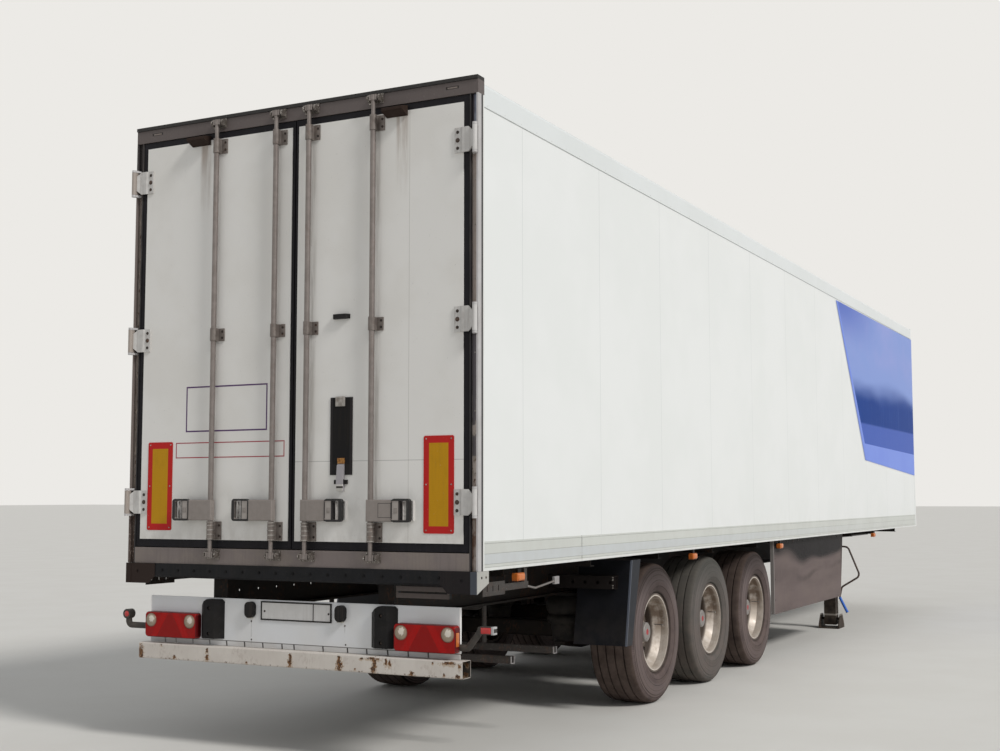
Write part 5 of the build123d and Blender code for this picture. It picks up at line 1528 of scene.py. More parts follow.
@dataclass
class RearFrame:
    """Posts, header, sill, beam and the keepers on them."""

    workshop: Workshop
    recess_y: float = 1269
    levels: tuple[float, ...] = (1230, 1350, 1700, 2060, 2400, 2830, 3150, 3420)
    lamp_y: Flat = (1088, 1164)

    def dress_frame(self) -> None:
        """Weathered profiles round the doorway."""
        lip = Patch((-20, -1, 4013), (90, 1310, 4040), "#161414", 0.6)
        # Painted steel profile gone grey-brown with road film: dull, blotched, streaked downwards.
        dress(Finish("painted steel under road film", "#786e6b", 0.6, 0.0, "#81776f", 130, 0.6, 4,
                     0.1, rain=0.12, rain_tone="#453d38", wear=0.15, wear_tone="#a59f98",
                     patches=(Patch((-20, -1, 3900), (90, 1310, 4014), "#5c5351", 0.55), lip)),
              "rear_header", "rear_sill")
        # Aluminium profile: a silver outer flange, brighter than the brown recess beside it; the
        # left post's flange, recess and top are darkened as painted shade.
        dress(TornTape("aluminium post profile", "#c4c2c2", 0.42, 0.25, "#b3b0b0", 120, 0.5, 3,
                       0.06, rain=0.2, rain_tone="#8a817a"), "rear_posts")
        plates = (Patch((-20, 1293.5, 1000), (140, 1310, 1143), "#b4b3ae", 0.5),
                  Patch((-15, 1060, 1000), (-9.9, 1258, 1142), "#1b1719", 0.6),
                  # Painted reflection: a blue-grey strip on the beam's right end.
                  Patch((-17, 1258, 1000), (-9.9, 1300.1, 1142), "#484c54", 0.4, 0.0, Side.RIGHT),
                  Patch((-17, 1060, 1000), (-9.9, 1300.1, 1142), "#2c211d", 0.65, 0.0, Side.LEFT),
                  Patch((19, 740, 975), (33, 1100, 1047), "#574f4c", 0.55))
        # Black enamel over a heavy steel beam: bluish, greyed on top, brown plates below, with a
        # painted blue-grey reflection on its right end.
        dress(Finish("black enamelled steel beam", "#121316", 0.42, 0.0, "#191a1e", 110, 0.6, 4,
                     0.12, rain=0.1, rain_tone="#3a322c", wear=0.15, wear_tone="#5b544d", dim=True,
                     patches=plates), "rear_beam")
        # Forged steel keepers: dark brown-grey, polished bright where the cams bear.
        dress(Finish("forged steel keepers", "#7b746e", 0.42, 0.5, "#57504a", 26, 0.7, 2, 0.12,
                     wear=0.9, wear_tone="#c4c0bb", wear_metal=0.8, rain=0.3), "lock_keepers")

    def fasteners(self) -> None:
        """Bolts in the recesses, along the beam and through its end plates."""
        w = self.workshop
        seeds = Seeds().all(product((22,), (self.recess_y, -self.recess_y), self.levels), REARWARD)
        w.heads("post_rivets", seeds, Head.RIVET, w.zinc, "frame_grey", 1.1)
        seeds = Seeds().all(product((-10,), range(-1048, 1001, 128), (1100,)), REARWARD)
        # Bolts under the beam's own enamel: only their edges show.
        enamelled = Finish("black enamelled bolts", "#08080a", 0.5, 0.0, "#0f0f11", 12, 0.5,
                           dim=True).material()
        w.heads("beam_bolts", seeds, Head.BOLT, enamelled, "frame_grey", 0.9)
        seeds = Seeds()
        for side in Side:
            seeds.all(product((45, 98), (1298 * side.value,), (1105,)), (0, side.value, 0))
        w.heads("end_plate_bolts", seeds, Head.BOLT, w.dark_bolt, "frame_grey", 0.75)

    def slot_lamps(self) -> None:
        """Smoked lenses in the two slots of the header, each in a dark gasket."""
        # Smoked acrylic over a small lamp: grey-brown and glossy.
        lens = Finish("smoked acrylic lens", "#82766f", 0.2, 0.0, "#6b605a", 20, 0.6, 2,
                      0.02).material()
        # Rubber gasket: a matt black line round the lens.
        gasket = Finish("rubber lamp gasket", "#1b1919", 0.7, 0.0, "#292626", 20, 0.6, 2,
                        0.05).material()
        lenses, gaskets = Shape(), Shape()
        for side in Side:
            low, high = sorted(side.value * y for y in self.lamp_y)
            lenses.block((0.8, low + 4, 3975), (3.9, high - 4, 3985), 1.2)
            gaskets.block((1.8, low - 3, 3973), (3.95, high + 3, 3987), 0.8)
        lenses.piece("header_lenses", lens, "lamp_plastic")
        gaskets.piece("header_gaskets", gasket, "lamp_plastic")

    def build(self) -> None:
        """Makes the rear frame's looks."""
        self.dress_frame()
        self.fasteners()
        self.slot_lamps()


@dataclass
class RearDoor:
    """One rear door with its seal, locking gear and fittings."""

    side: Side
    workshop: Workshop
    bars: Flat = (125, 597)
    bar_x: float = -36
    hinge_y: float = 1168
    hinges: tuple[float, ...] = (1535, 2595, 3655)
    guides: tuple[Flat, ...] = ((1299, 1413), (2560, 2640), (3782, 3876))
    skin_tone: str = "#e8e6e2"

    @property
    def body(self) -> str:
        """The door's body and panel node."""
        return f"door_{self.side.label}"

    def dress_panel(self) -> None:
        """Gel coat on the panel, rubber round it."""
        name = self.side.label
        stain = (674.0, 750.0) if self.side is Side.LEFT else (-820.0, -744.0)
        seam, level = (0.0, 0.0) if self.side is Side.LEFT else (-835.0, 1782.0)
        # Gel coat as on the walls, but handled: warm grey-white with soft brown runs.
        dress(DoorPaint(f"gel coat on door panel {name}", self.skin_tone, 0.4, 0.0, "#dedbd5", 520,
                        0.5, 4, 0.015, stain=stain, seam=seam, level=level), self.body)
        # Extruded EPDM rubber: black, matt, faintly greyed by dust.
        dress(Finish(f"extruded rubber seal {name}", "#151418", 0.6, 0.0, "#1d1b21", 70, 0.5, 2,
                     0.1, rain=0.1, rain_tone="#3f3b3a", wear=0.08, wear_tone="#5b5752",
                     wear_metal=0.0, dim=True), self.body + "_seal")

    def dress_gear(self) -> None:
        """Dulled zinc on bars and guides, painted hinges, pressed lever housings."""
        name = self.side.label
        # Zinc plate dulled by the weather: brown-grey with cloudy patches and polished cam edges.
        dress(Finish(f"dulled zinc lock bars {name}", "#867e7a", 0.4, 0.45, "#756d69", 60, 0.6, 2,
                     0.04, rain=0.25, rain_tone="#5f564f", rust=0.12, wear=0.15,
                     wear_tone="#c6c1bb"), self.body + "_lock_bars")
        # Pressed steel: darker than the bars, grime caught in its folds.
        dress(Finish(f"pressed steel guides {name}", "#7f7772", 0.45, 0.4, "#665e59", 30, 0.6, 2,
                     0.1, rain=0.3, rain_tone="#4c443e", rust=0.15), self.body + "_bar_guides")
        # Painted light: the hinge barrels are pale as if lit on the right door and brown-grey as if
        # shaded on the left.
        lit_and_shaded_barrels = (Patch((-60, 1280, 1400), (-28, 1320, 3800), "#cfcdcb", 0.35, 0.2, Side.RIGHT),
                   Patch((-62, 1272, 1400), (30, 1330, 3800), "#a29890", 0.5, 0.1, Side.LEFT))
        # Light grey enamel on steel: the palest metal on the door, smudged round its bolts; its
        # barrels are painted lit on the right door and shaded on the left.
        dress(Finish(f"enamelled steel hinge leaves {name}", "#cbc9c6", 0.4, 0.1, "#b9b6b3", 45,
                     0.5, 2, 0.08, rain=0.2, rain_tone="#857c75", rust=0.08, patches=lit_and_shaded_barrels),
              self.body + "_hinge_leaves")
        # Brown-grey enamel on pressings: satin, with black grips and pale dishes behind them.
        dress(LeverSteel(f"pressed steel lever housings {name}", "#8d8580", 0.45, 0.2, "#857d78",
                         40, 0.6, 2, 0.08, rain=0.2, rain_tone="#5f564f", wear=0.1, bars=self.bars,
                         framed_side=-1 if self.side is Side.RIGHT else 0),
              self.body + "_lock_handles")

    def dress_fittings(self) -> None:
        """Reflective plate, buffer, strap and pull."""
        name = self.side.label
        rows = [((-80, 670, 3845), (1, 824, 3920), "#30241f", 0.75)]
        if self.side is Side.RIGHT:
            rows += [((-12, 284, 1764), (1, 446, 2170), "#171617", 0.7),
                     ((-12, 284, 1696), (1, 303, 2170), "#2b2829", 0.7),
                     ((-12, 427, 1696), (1, 446, 2170), "#2b2829", 0.7),
                     ((-30, 340, 1600), (1, 392, 1766), "#a39fa2", 0.45),
                     ((-30, 340, 1631), (-18, 392, 1642), "#d6d3cf", 0.4),
                     ((-30, 340, 1619), (-18, 392, 1631), "#4a4643", 0.6),
                     ((-30, 340, 1600), (-18, 392, 1619), "#cbc8c1", 0.45),
                     ((-15, 320, 1640), (1, 346, 1672), "#201e1e", 0.6),
                     ((-15, 388, 1640), (1, 414, 1672), "#201e1e", 0.6),
                     ((-31, 298, 2640), (1, 422, 2680), "#232122", 0.6)]
        # Retroreflective sheet: saturated ochre and red that stay flat in any light.
        dress(ReflectiveSheet(f"reflective sheet and fittings {name}", "#1b1a1b", 0.6, 0.0,
                              "#262323", 60, 0.5, 2, 0.03, rain=0.06, rain_tone="#5b4b30",
                              patches=tuple(Patch(*row) for row in rows), dim=True),
              self.body + "_fittings")

    def fasteners(self) -> None:
        """Bolts of hinges, guides and plate."""
        w, s = self.workshop, self.side.value
        x, y = -10, self.hinge_y * s
        outer = Seeds().all(((x, y, z + off) for z in self.hinges for off in (-48, 48)), REARWARD)
        middle = Seeds().all(((x, y, z) for z in self.hinges), REARWARD)
        w.heads(f"{self.body}_hinge_bolts", outer, Head.BOLT, w.dark_bolt, "hinge_grey", 0.85,
                body=self.body)
        w.heads(f"{self.body}_hinge_middle_bolts", middle, Head.BOLT, w.brown_bolt, "hinge_grey",
                1.2, body=self.body)
        seeds = Seeds()
        for y in self.bars:
            for low, high in self.guides:
                step = min(24, (high - low) / 4)
                for z in (low + step, high - step):
                    seeds.one((-8, y * s - 48, z), REARWARD)
        w.heads(f"{self.body}_guide_bolts", seeds, Head.BOLT, w.dark_bolt, "lock_steel", 0.7,
                body=self.body)
        seeds = Seeds().all(product((-3,), (958 * s, 1126 * s), (1372, 1638, 1904)), REARWARD)
        w.heads(f"{self.body}_plate_rivets", seeds, Head.RIVET, w.zinc, "door_fittings", 1.1,
                body=self.body)

    def collars(self) -> None:
        """Ribbed collars on the lower guides and a latch in each lever's tongue."""
        w, s = self.workshop, self.side.value
        rings, latches = Shape(), Shape()
        low, high = self.guides[0]
        for y in self.bars:
            for z in (low + 5, low + 34, low + 62, low + 90, high - 5):
                rings.turned([(20.5, -4), (24, -3), (24.6, 0), (24, 3), (20.5, 4), (20.5, -4)],
                             (self.bar_x, y * s, z), Axis.Z, 24)
            a, b = sorted((s * (y + 178), s * (y + 200)))
            latches.block((-63, a, 1470), (-59.5, b, 1502), 1.4)
            latches.block((-62, min(a, b) + 7, 1476), (-61, max(a, b) - 4, 1496), 0.4)
        rings.piece(f"{self.body}_guide_collars", w.zinc, "lock_steel", body=self.body)
        latches.piece(f"{self.body}_lever_latches", w.tongue, "lock_steel", body=self.body)

    def strap(self) -> None:
        """Clip and buckle of the strap, on the right door only."""
        if self.side is not Side.RIGHT:
            return
        clip = Shape().block((-12, -394, 2112), (-5.5, -324, 2172), 3, 3)
        clip.block((-14, -386, 2158), (-11, -332, 2166), 1.2)
        clip.piece("strap_clip", self.workshop.zinc, "door_fittings", body=self.body)
        # Brass plate worn through to rust: ochre with dark spots.
        brass = Finish("corroded brass buckle", "#a9783c", 0.5, 0.3, "#6e4523", 14, 0.7, 2, 0.1,
                       rust=0.5).material()
        buckle = Shape()
        for low, high in (((-394, 1766), (-342, 1776)), ((-394, 1790), (-342, 1800)),
                          ((-394, 1774), (-384, 1792)), ((-352, 1774), (-342, 1792))):
            buckle.block((-12, *low), (-5.5, *high), 2, 2)
        buckle.block((-9, -386, 1772), (-6, -350, 1794), 0.8)
        buckle.piece("strap_buckle", brass, "door_fittings", body=self.body)

    def frames(self) -> None:
        """Two printed frames with nothing in them, on the left door only."""
        if self.side is not Side.LEFT:
            return
        # Printed vinyl lines: thin, flat and slightly glossy.
        gap = 0.2
        for label, tone, (y0, y1), (z0, z1), line in (
                ("purple", "#553468", (192, 837), (1983, 2276), 9),
                ("red", "#ab3540", (57, 915), (1816, 1916), 6)):
            ink = Finish(f"printed {label} line", tone, 0.4, 0.0, "#7d6f80", 60, 0.2, 3, 0.01,
                         dim=True).material()
            shape, foot, top = Shape(), z0 + line + gap, z1 - line - gap
            for low, high in (((y0, z0), (y1, z0 + line)), ((y0, z1 - line), (y1, z1)),
                              ((y0, foot), (y0 + line, top)), ((y1 - line, foot), (y1, top))):
                shape.block((-0.7, *low), (-0.1, *high), 0)
            shape.piece(f"printed_frame_{label}", ink, "door_fittings", body=self.body)

    def build(self) -> None:
        """Makes the door's looks."""
        self.dress_panel()
        self.dress_gear()
        self.dress_fittings()
        self.fasteners()
        self.collars()
        self.strap()
        self.frames()


@dataclass
class Bumper:
    """White board with its lamps, buffers and blank plate, over the underrun bar."""

    workshop: Workshop
    lamp_end: float = 1148
    lens_y: Flat = (785, 1098)
    lens_z: float = 778
    side_lamps: tuple[float, ...] = (590, 3793, 6384, 10700)
    number_lamp_y: float = 337
    chips: tuple[Blot, ...] = ((1178, 566, 18, 44), (901, 550, 11, 12), (640, 604, 9, 15),
                               (638, 560, 12, 20), (1, 606, 12, 15), (2, 566, 15, 26),
                               (-356, 604, 12, 18), (-358, 566, 19, 30), (-514, 615, 10, 5),
                               (-594, 619, 42, 7), (-606, 592, 14, 34), (-596, 556, 15, 20),
                               (-684, 604, 9, 19), (-710, 594, 9, 16), (-860, 545, 15, 14),
                               (-1110, 619, 40, 9), (-1175, 604, 9, 12), (-1000, 614, 6, 5),
                               (-470, 552, 7, 5), (330, 548, 7, 6), (1010, 622, 7, 5),
                               (-1165, 548, 14, 12), (-1075, 552, 6, 8))

    def dress_nodes(self) -> None:
        """Paint, rubber and plastic on the CAD nodes."""
        # White enamel on folded steel: smooth and half glossy, dusty along its fold, with a painted
        # highlight down each end corner.
        dress(BoardPaint("white enamelled steel board", "#dfe0e2", 0.38, 0.0, "#dbdad8", 260, 0.5,
                         4, 0.02, dust=0.1, dust_top_mm=950, dust_tone="#9b9289",
                         patches=(Patch((62, 1144, 640), (82, 1152, 932), "#f2f1ef", 0.35),)),
              "bumper_board")
        # Cream enamel gone chalky: pale, warm and pitted with rust where it has been struck.
        dress(ChippedPaint("cream enamelled steel bar", "#d3ccc4", 0.5, 0.0, "#c8c0b8", 190, 0.5, 4,
                           0.06, rain=0.05, rain_tone="#8a7763", dust=0.15, dust_top_mm=900,
                           dust_tone="#94877a", rust=0.15, chips=self.chips,
                           patches=(Patch((9.5, 600, 534.5), (104.5, 1198, 629.5), "#2b2623", 0.7),
                                    )), "underrun_bar")
        # Injection moulded acrylic: deep and glossy, with cells that catch light inside.
        dress(LampPlastic("red acrylic lamp", "#9c0d0b", 0.25, 0.0, "#8d0c0a", 60, 0.4, 2, 0.0,
                          dust=0.05, dust_top_mm=1200, dust_tone="#6d4038", dim=True), "lamps")
        # Moulded rubber: charcoal with a dusty bloom and scuffed edges.
        dress(Finish("moulded rubber buffer", "#0b0b0d", 0.55, 0.0, "#131316", 60, 0.6, 2, 0.15,
                     dust=0.04, dust_top_mm=1300, wear=0.1, wear_tone="#5a5654", wear_metal=0.0,
                     dim=True), "dock_buffers")
        # Reflective sheet in a moulded frame: pale grey field, black surround.
        dress(BlankPlate("blank plate in a black frame", "#d3d1cf", 0.42, 0.0, "#c8c6c3", 60, 0.4,
                         2, 0.02, rain=0.08, dust=0.05, dust_top_mm=1300, dim=True), "plate_holder")
        # Soft moulded rubber: matt black, dusty on top, with a pale outer cap.
        dress(Finish("moulded rubber lamp arm", "#1b1919", 0.6, 0.0, "#2a2625", 50, 0.6, 2, 0.1,
                     dust=0.35, dust_top_mm=1100), "marker_arms")

    def lenses(self) -> None:
        """Two round clear lenses and an amber end on each tail lamp."""
        # Clear acrylic over a silvered bowl: creamy, with a painted highlight off centre, ringed by
        # its rim.
        clear = LampBowl("clear acrylic lens", "#a39482", 0.12, 0.15, "#8e7f6e", 25, 0.4, 2, 0.0,
                         dim=True).material()
        # Amber acrylic: bright orange even in shade.
        amber = Finish("amber acrylic side lens", "#cf7434", 0.2, 0.0, "#b9622a", 20, 0.5, 2,
                       0.0).material()
        for side in Side:
            shape = Shape()
            dome = [(0, -5.5), (14, -5.2), (26, -4.2), (35, -2.4), (40.5, -0.4), (42, 2.0),
                    (43.6, 2.2), (44.4, 1.0), (44.4, 8.8), (0, 8.8)]
            for y in self.lens_y:
                shape.turned(dome, (6, y, self.lens_z), Axis.X, 40)
            shape.sided("tail_lenses", side, clear, "lamp_plastic")
            end = Shape().block((18, self.lamp_end - 4, 710), (52, self.lamp_end + 3, 790), 2.5)
            end.sided("tail_side_lens", side, amber, "lamp_plastic")
            lens = Shape()
            for x in self.side_lamps:
                lens.block((x - 46, 1262, 1060), (x + 46, 1290, 1106), 13, 5)
            lens.sided("side_lamp_lenses", side, amber, "lamp_plastic")

    def markers(self) -> None:
        """Red and white lenses on the two marker arms."""
        # Red acrylic over a reflector.
        red = Finish("red acrylic marker lens", "#c3201f", 0.18, 0.0, "#a81a1b", 14, 0.4, 2, 0.0,
                     shader=(("Coat_Weight", 0.5), ("Coat_Roughness", 0.08))).material()
        # Grey-white moulding that has chalked a little.
        pale = Finish("pale moulded lamp cap", "#b9b8b8", 0.45, 0.0, "#a4a2a2", 20, 0.5, 2, 0.04,
                      rain=0.2).material()
        dome = [(0, -4), (12, -3.2), (18, -0.6), (19, 1.6), (19, 5), (0, 5)]
        shape = Shape().turned(dome, (47, 1343, 804), Axis.X, 28)
        shape.block((49, -1354, 790), (56, -1290, 824), 2.5, 3)
        shape.piece("marker_red_lenses", red, "lamp_plastic")
        cap = Shape().block((50, -1373.9, 784), (94, -1355, 830), 3, 3)
        cap.turned([(r, -x) for r, x in dome], (97, 1343, 804), Axis.X, 28)
        cap.piece("marker_pale_caps", pale, "black_rubber")

    def small_parts(self) -> None:
        """Bolts of the buffers and board, screws of the plate and glass of the number lamps."""
        w = self.workshop
        seeds = Seeds().all(product((29,), (-640, 640), (708, 868)), REARWARD)
        w.heads("dock_buffer_bolts", seeds, Head.BOLT, w.dark_bolt, "black_rubber", 1.0)
        seeds = Seeds().all(((58.5, 234, 861), (58.5, -243, 860)), REARWARD)
        w.heads("plate_screws", seeds, Head.SCREW, w.dark_bolt, "plate_plastic", 1.2)
        seeds = Seeds().all(((64, y, z) for y, z in BoardPaint.screws), REARWARD)
        w.heads("board_screws", seeds, Head.SCREW, w.dark_bolt, "bumper_white", 0.9)
        # Frosted glass: milky and soft under the black housings.
        glass = Finish("frosted lamp glass", "#a9a598", 0.3, 0.0, "#908c80", 15, 0.5, 2,
                       0.0).material()
        shape = Shape()
        for y in (-self.number_lamp_y, self.number_lamp_y):
            shape.block((34, y - 20, 814.5), (60, y + 20, 819), 2)
        shape.piece("number_lamp_glass", glass, "plate_plastic")

    def build(self) -> None:
        """Makes the bumper's looks."""
        self.dress_nodes()
        self.lenses()
        self.markers()
        self.small_parts()


@dataclass
class Wheels:
    """Six wide single tyres on deep silver rims."""

    workshop: Workshop
    centres: tuple[float, ...] = (3065, 4375, 5685)
    centre_y: float = 1045
    radius: float = 530
    flange: float = 298
    half: float = 192.5
    crown: float = 6
    tread_half: float = 140.5
    grooves: tuple[float, ...] = (-102, -34, 34, 102)
    groove_width: float = 11
    groove_depth: float = 14

    def section(self) -> list[Spot]:
        """Cross-section from the inner bead over the tread to the outer bead.

        Returns:
            Radius, width and notch depth of each point in mm.
        """
        f, h = self.flange, self.half
        wall = [(f - 8, h - 46, 0), (f + 2, h - 38, 0), (f + 9, h - 30, 0), (f + 12, h - 22, 0),
                (f + 17, h - 20, 0), (f + 28, h - 11, 0), (f + 52, h - 2.5, 0),
                (f + 56, h - 0.6, 0), (f + 62, h - 0.4, 0), (f + 66, h - 1.4, 0),
                (f + 100, h - 2, 0), (f + 104, h - 3.6, 0), (f + 140, h - 8, 0),
                (f + 168, h - 14, 0), (f + 172, h - 16.5, 0), (f + 186, h - 19, 0),
                (f + 190, h - 17.5, 0), (496, 171, 0), (504, 167, 1), (510.5, 162.5, 2),
                (516, 157, 2), (520.5, 149.5, 2), (523.2, 142.5, 2)]
        points = [(r, -w, d) for r, w, d in wall]
        edge = self.groove_width / 2
        for groove in self.grooves:
            for shift, deep, notch in ((-edge - 8, 0, 0), (-edge, 0, 2.5), (-edge + 2.5, 1, 0),
                                       (edge - 2.5, 1, 0), (edge, 0, 2.5), (edge + 8, 0, 0)):
                y = groove + shift
                sink = self.crown * (y / self.tread_half) ** 2
                points.append((self.radius - sink - deep * self.groove_depth, y, notch))
        points += [(r, w, d) for r, w, d in reversed(wall)]
        inner = [(f - 8, 60, 0), (f - 8, -60, 0), (f - 8, -(h - 46), 0)]
        return points + inner

    def tyre(self, number: int, side: Side, rubber: Material) -> None:
        """Turns one treaded tyre in place of its plain solid.

        Args:
            number: The axle, counted from the rear.
            side: The side of the trailer.
            rubber: The tyre's material.
        """
        section = self.section()
        if side is Side.RIGHT:
            section = [(r, -w, d) for r, w, d in reversed(section)]
        seed = bpy.data.meshes.new("tyre_section")
        seed.from_pydata([(r / 1000, w / 1000, d / 1000) for r, w, d in section], [], [])
        centre = metres((self.centres[number - 1], self.centre_y * side.value, self.radius))
        name = f"{number}_{side.label}"
        piece = self.workshop.tyres.grow("tread_" + name, seed, rubber, "tyre_rubber",
                                         "wheel_" + name, Points=len(section), Steps=240,
                                         Notches=80.0, Centre=tuple(centre))
        edit = bmesh.new()
        edit.from_mesh(piece.data)
        shade(edit, merge=0.00005, sharp_degrees=38)
        edit.to_mesh(piece.data)
        edit.free()
        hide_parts(f"tyre_{number}_{side.label}")

    def valve(self, number: int, side: Side) -> None:
        """Stands a tyre valve inside the rim's well."""
        x, y, z = self.centres[number - 1], self.centre_y, self.radius + 40
        end = (x + 214, y + 132, z - 1)
        stem = Shape().tube([(x + 226, y + 66, z), (x + 222, y + 96, z), end], 4.2)
        stem.tube([end, (x + 213, y + 142, z - 1)], 6)
        stem.sided(f"valve_{number}", side, self.workshop.zinc, "rim_silver",
                   f"wheel_{number}_{side.label}")

    def build(self) -> None:
        """Makes all six wheels."""
        # Tyre rubber greyed by dust and sun: brown-grey walls round a darker, grooved tread,
        # with painted shade darkening its upper part.
        rubber = TyreRubber("weathered tyre rubber", "#413837", 0.85, 0.0, "#494040", 120, 0.6, 2,
                            0.1, dust=0.3, dust_top_mm=1000, dust_tone="#7a6b64",
                            dim=True).material()
        # Silver enamel on pressed steel: a painted highlight on the flange, pale low in the well
        # and brown above with brake dust and painted shade.
        rims = [f"wheel_{n}_{side.label}" for n in (1, 2, 3) for side in Side]
        dress(WheelPaint("silver enamelled steel rim", "#d8cfc5", 0.34, 0.35, "#c3b7a8", 70, 0.5, 3,
                         0.06, rust=0.12), *rims)
        w = self.workshop
        for number, x in enumerate(self.centres, 1):
            for side in Side:
                name = f"{number}_{side.label}"
                self.tyre(number, side, rubber)
                self.valve(number, side)
                for kind, head, metal, out, radius, count, turn in (
                        ("nuts", Head.NUT, w.dark_bolt, 20, 168, 10, 0.3),
                        ("cap_bolts", Head.SCREW, w.zinc, 96, 52, 6, 0.1)):
                    middle = (x, (self.centre_y + out) * side.value, self.radius)
                    ring = circle(middle, radius, count, Axis.Y, turn=turn)
                    seeds = Seeds().all(ring, (0, side.value, 0))
                    w.heads(f"{kind}_{name}", seeds, head, metal, "rim_silver",
                            body="wheel_" + name)


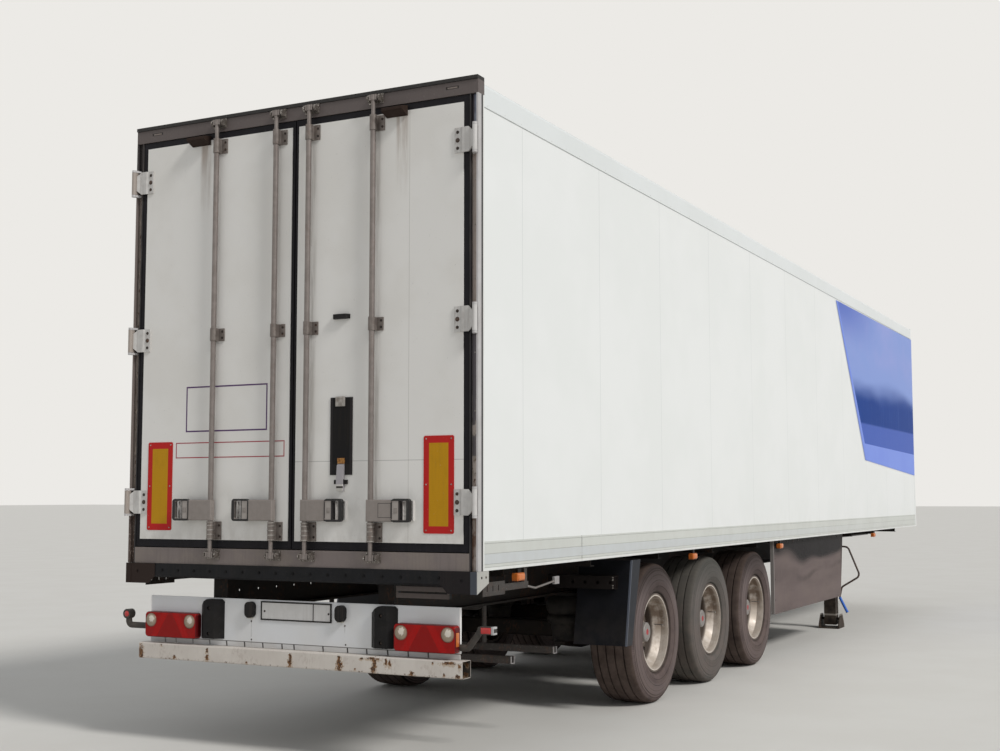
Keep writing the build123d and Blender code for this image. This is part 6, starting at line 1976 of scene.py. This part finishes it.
@dataclass
class Chassis:
    """Everything under the body that carries it."""

    workshop: Workshop
    leg_x: float = 9650
    leg_y: float = 965
    panel_y: float = 1238
    grip_ribs: int = 15
    grip_ends: tuple[Spot, Spot] = ((9650, -1072, 363), (9650, -1160, 186))

    def dress_nodes(self) -> None:
        """Dusty dark paint, rubber and steel under the floor."""
        # Chassis enamel under brown road film: nearly black, warmer and duller low down.
        dress(Finish("chassis enamel under road film", "#171413", 0.62, 0.0, "#1f1a17", 140, 0.6, 4,
                     0.15, rain=0.15, rain_tone="#332a24", dust=0.3, dust_top_mm=1150,
                     dust_tone="#352c25", wear=0.1, wear_tone="#53463b", rust=0.2, dim=True),
              "chassis_rails", "cross_members", "bumper_brackets", "suspension_hangers",
              "trailing_arms", "axles")
        # Bare steel gone brown-grey, with painted highlights on some of its edges and hook ends.
        dress(Finish("oxidised bare steel", "#37322f", 0.5, 0.2, "#2c2725", 90, 0.6, 3, 0.12,
                     wear=0.3, wear_tone="#8a8784", rust=0.2,
                     patches=(Patch((1095, 1240, 1005), (1180, 1280, 1065), "#9d9b9b", 0.4, 0.4),
                              Patch((715, 1142, 535), (1400, 1151, 590), "#a19e9d", 0.45, 0.3),
                              Patch((700, 1263, 990), (1110, 1290, 1050), "#7b7673", 0.4, 0.4))),
              "carrier_rails")
        shoe = Patch((9500, 830, 150), (9800, 1100, 170), "#8f8982", 0.5)
        # Enamel rubbed to rust on the legs, with a pale rim where the shoe is scraped.
        dress(Finish("rusted enamel on landing legs", "#1b1614", 0.65, 0.0, "#2b211c", 60, 0.7, 3,
                     0.2, wear=0.25, wear_tone="#5b4639", rust=0.5, rust_tone="#4a2d1e", dust=0.2,
                     dust_top_mm=500, dim=True, patches=(shoe,)), "landing_legs")
        # Steel plate under old grease: dark, wet-looking and smeared.
        dress(Finish("greased steel plate", "#3a3533", 0.32, 0.6, "#231f1d", 150, 0.7, 3, 0.1,
                     wear=0.5), "coupling_plate", "kingpin")
        # Enamelled air tank: black and a little glossier than the frame round it.
        dress(Finish("enamelled steel air tank", "#171617", 0.4, 0.0, "#211e1d", 150, 0.5, 3, 0.05,
                     dust=0.2, dust_top_mm=1150, dim=True), "air_tanks")
        # Moulded rubber bellows: matt black, dusty in the folds.
        dress(Finish("moulded rubber bellows", "#141313", 0.6, 0.0, "#1d1a1a", 60, 0.6, 2, 0.1,
                     dust=0.15, dust_top_mm=1000, dim=True), "air_springs")
        # Sheet rubber on a steel channel: blue-black sheet, slate cheek with a painted highlight
        # along its edge.
        dress(FlapRubber("sheet rubber mud flap", "#121317", 0.5, 0.0, "#191a20", 200, 0.5, 3, 0.15,
                         dust=0.08, dust_top_mm=900, dim=True), "mud_flaps")
        # Dark plastic sheet under a film of dust: brown-grey, with painted reflections and a
        # painted shade band along the top.
        dress(SidePanelPlastic("glossy dark plastic panel", "#726663", 0.34, 0.0, "#6c6060", 500,
                               0.4, 5, 0.02, dust=0.06, dust_top_mm=800, dust_tone="#8a8078",
                               shader=(("Specular_IOR_Level", 0.01),)), "side_panels")
        # Brown-grey steel rod: dull, with a bright blue moulded grip.
        dress(Finish("painted steel crank", "#473b36", 0.5, 0.1, "#52443d", 30, 0.6, 2, 0.08,
                     rust=0.3), "crank_handle")

    def grip(self) -> None:
        """A ribbed sleeve round the crank's grip."""
        # Glossy moulded plastic: saturated blue.
        blue = Finish("blue moulded grip", "#1f63c4", 0.35, 0.0, "#2a74d8", 40, 0.5, 2, 0.05,
                      dust=0.1, dust_top_mm=400).material()
        start, end = (Vector(spot) for spot in self.grip_ends)
        shape, count = Shape(), self.grip_ribs
        for i in range(count):
            a, b = start.lerp(end, (i + 0.12) / count), start.lerp(end, (i + 0.88) / count)
            shape.tube([tuple(a), tuple(a.lerp(b, 0.2)), tuple(a.lerp(b, 0.8)), tuple(b)],
                       16.6 if 0 < i < count - 1 else 17.6, 14)
        shape.tube([tuple(start.lerp(end, 0.01)), tuple(start.lerp(end, 0.99))], 15.8, 14)
        shape.piece("crank_grip", blue, "leg_paint")

    def fasteners(self) -> None:
        """Bolts of the flap channels, side panels and landing legs."""
        w = self.workshop
        seeds, dots, screws = Seeds(), Seeds(), Seeds()
        for side in Side:
            s = side.value
            dots.all(product((2380,), (1140 * s,), (905, 922, 963, 980)), REARWARD)
            y = self.panel_y * s
            screws.all(product((6290,), (y,), (560, 760, 960)), (0, s, 0))
            screws.row((6330, y, 1112), (9060, y, 1112), 14, (0, s, 0))
            y = (self.leg_y + 80) * s
            seeds.all(((self.leg_x + x, y, z) for z in (500, 580, 900, 1000) for x in (-58, 58)),
                      (0, s, 0))
        w.heads("leg_bolts", seeds, Head.BOLT, w.dark_bolt, "leg_paint")
        w.heads("flap_screws", dots, Head.SCREW, w.zinc, "black_rubber", 1.2)
        w.heads("panel_screws", screws, Head.RIVET, w.dark_bolt, "panel_gloss", 1.4)

    def build(self) -> None:
        """Makes the chassis's looks."""
        self.dress_nodes()
        self.grip()
        self.fasteners()


@dataclass
class RefrigerationUnit:
    """The cooling unit on the front wall."""

    workshop: Workshop
    half: float = 1020
    face: float = 13950
    latch_levels: tuple[float, ...] = (1900, 2400, 2800, 3600)
    hinge_levels: tuple[float, ...] = (1780, 2560, 3700)

    def build(self) -> None:
        """Dresses the housing and gives it latches and hinges."""
        # Moulded glass fibre: white and glossy, with black dusty louvres and fine door lines.
        dress(UnitShell("white moulded housing", "#dfe1df", 0.3, 0.0, "#d5d7d4", 400, 0.4, 4, 0.02,
                        rain=0.2, rain_tone="#8b8377"), "refrigeration_unit")
        latches, hinges = Seeds(), Shape()
        for side in Side:
            s = side.value
            places = product((self.face - 95,), (self.half * s,), self.latch_levels)
            latches.all(places, (0, s, 0))
            for z in self.hinge_levels:
                low, high = sorted((s * (self.half - 26), s * (self.half - 2)))
                hinges.block((self.face - 40, low, z - 60), (self.face, high, z + 60), 4, 3)
        self.workshop.heads("unit_latches", latches, Head.NUT, self.workshop.zinc, "unit_white",
                            0.8)
        hinges.piece("unit_hinges", self.workshop.black_steel, "unit_white")


def main() -> None:
    """Builds the looks in order and reports each piece."""
    logging.basicConfig(level=logging.INFO, format="%(message)s", stream=sys.stdout)
    Studio().build()
    workshop = Workshop()
    BoxBody(workshop).build()
    RearFrame(workshop).build()
    for side in Side:
        RearDoor(side, workshop).build()
    Bumper(workshop).build()
    Wheels(workshop).build()
    Chassis(workshop).build()
    RefrigerationUnit(workshop).build()


if __name__ == "__main__":
    main()
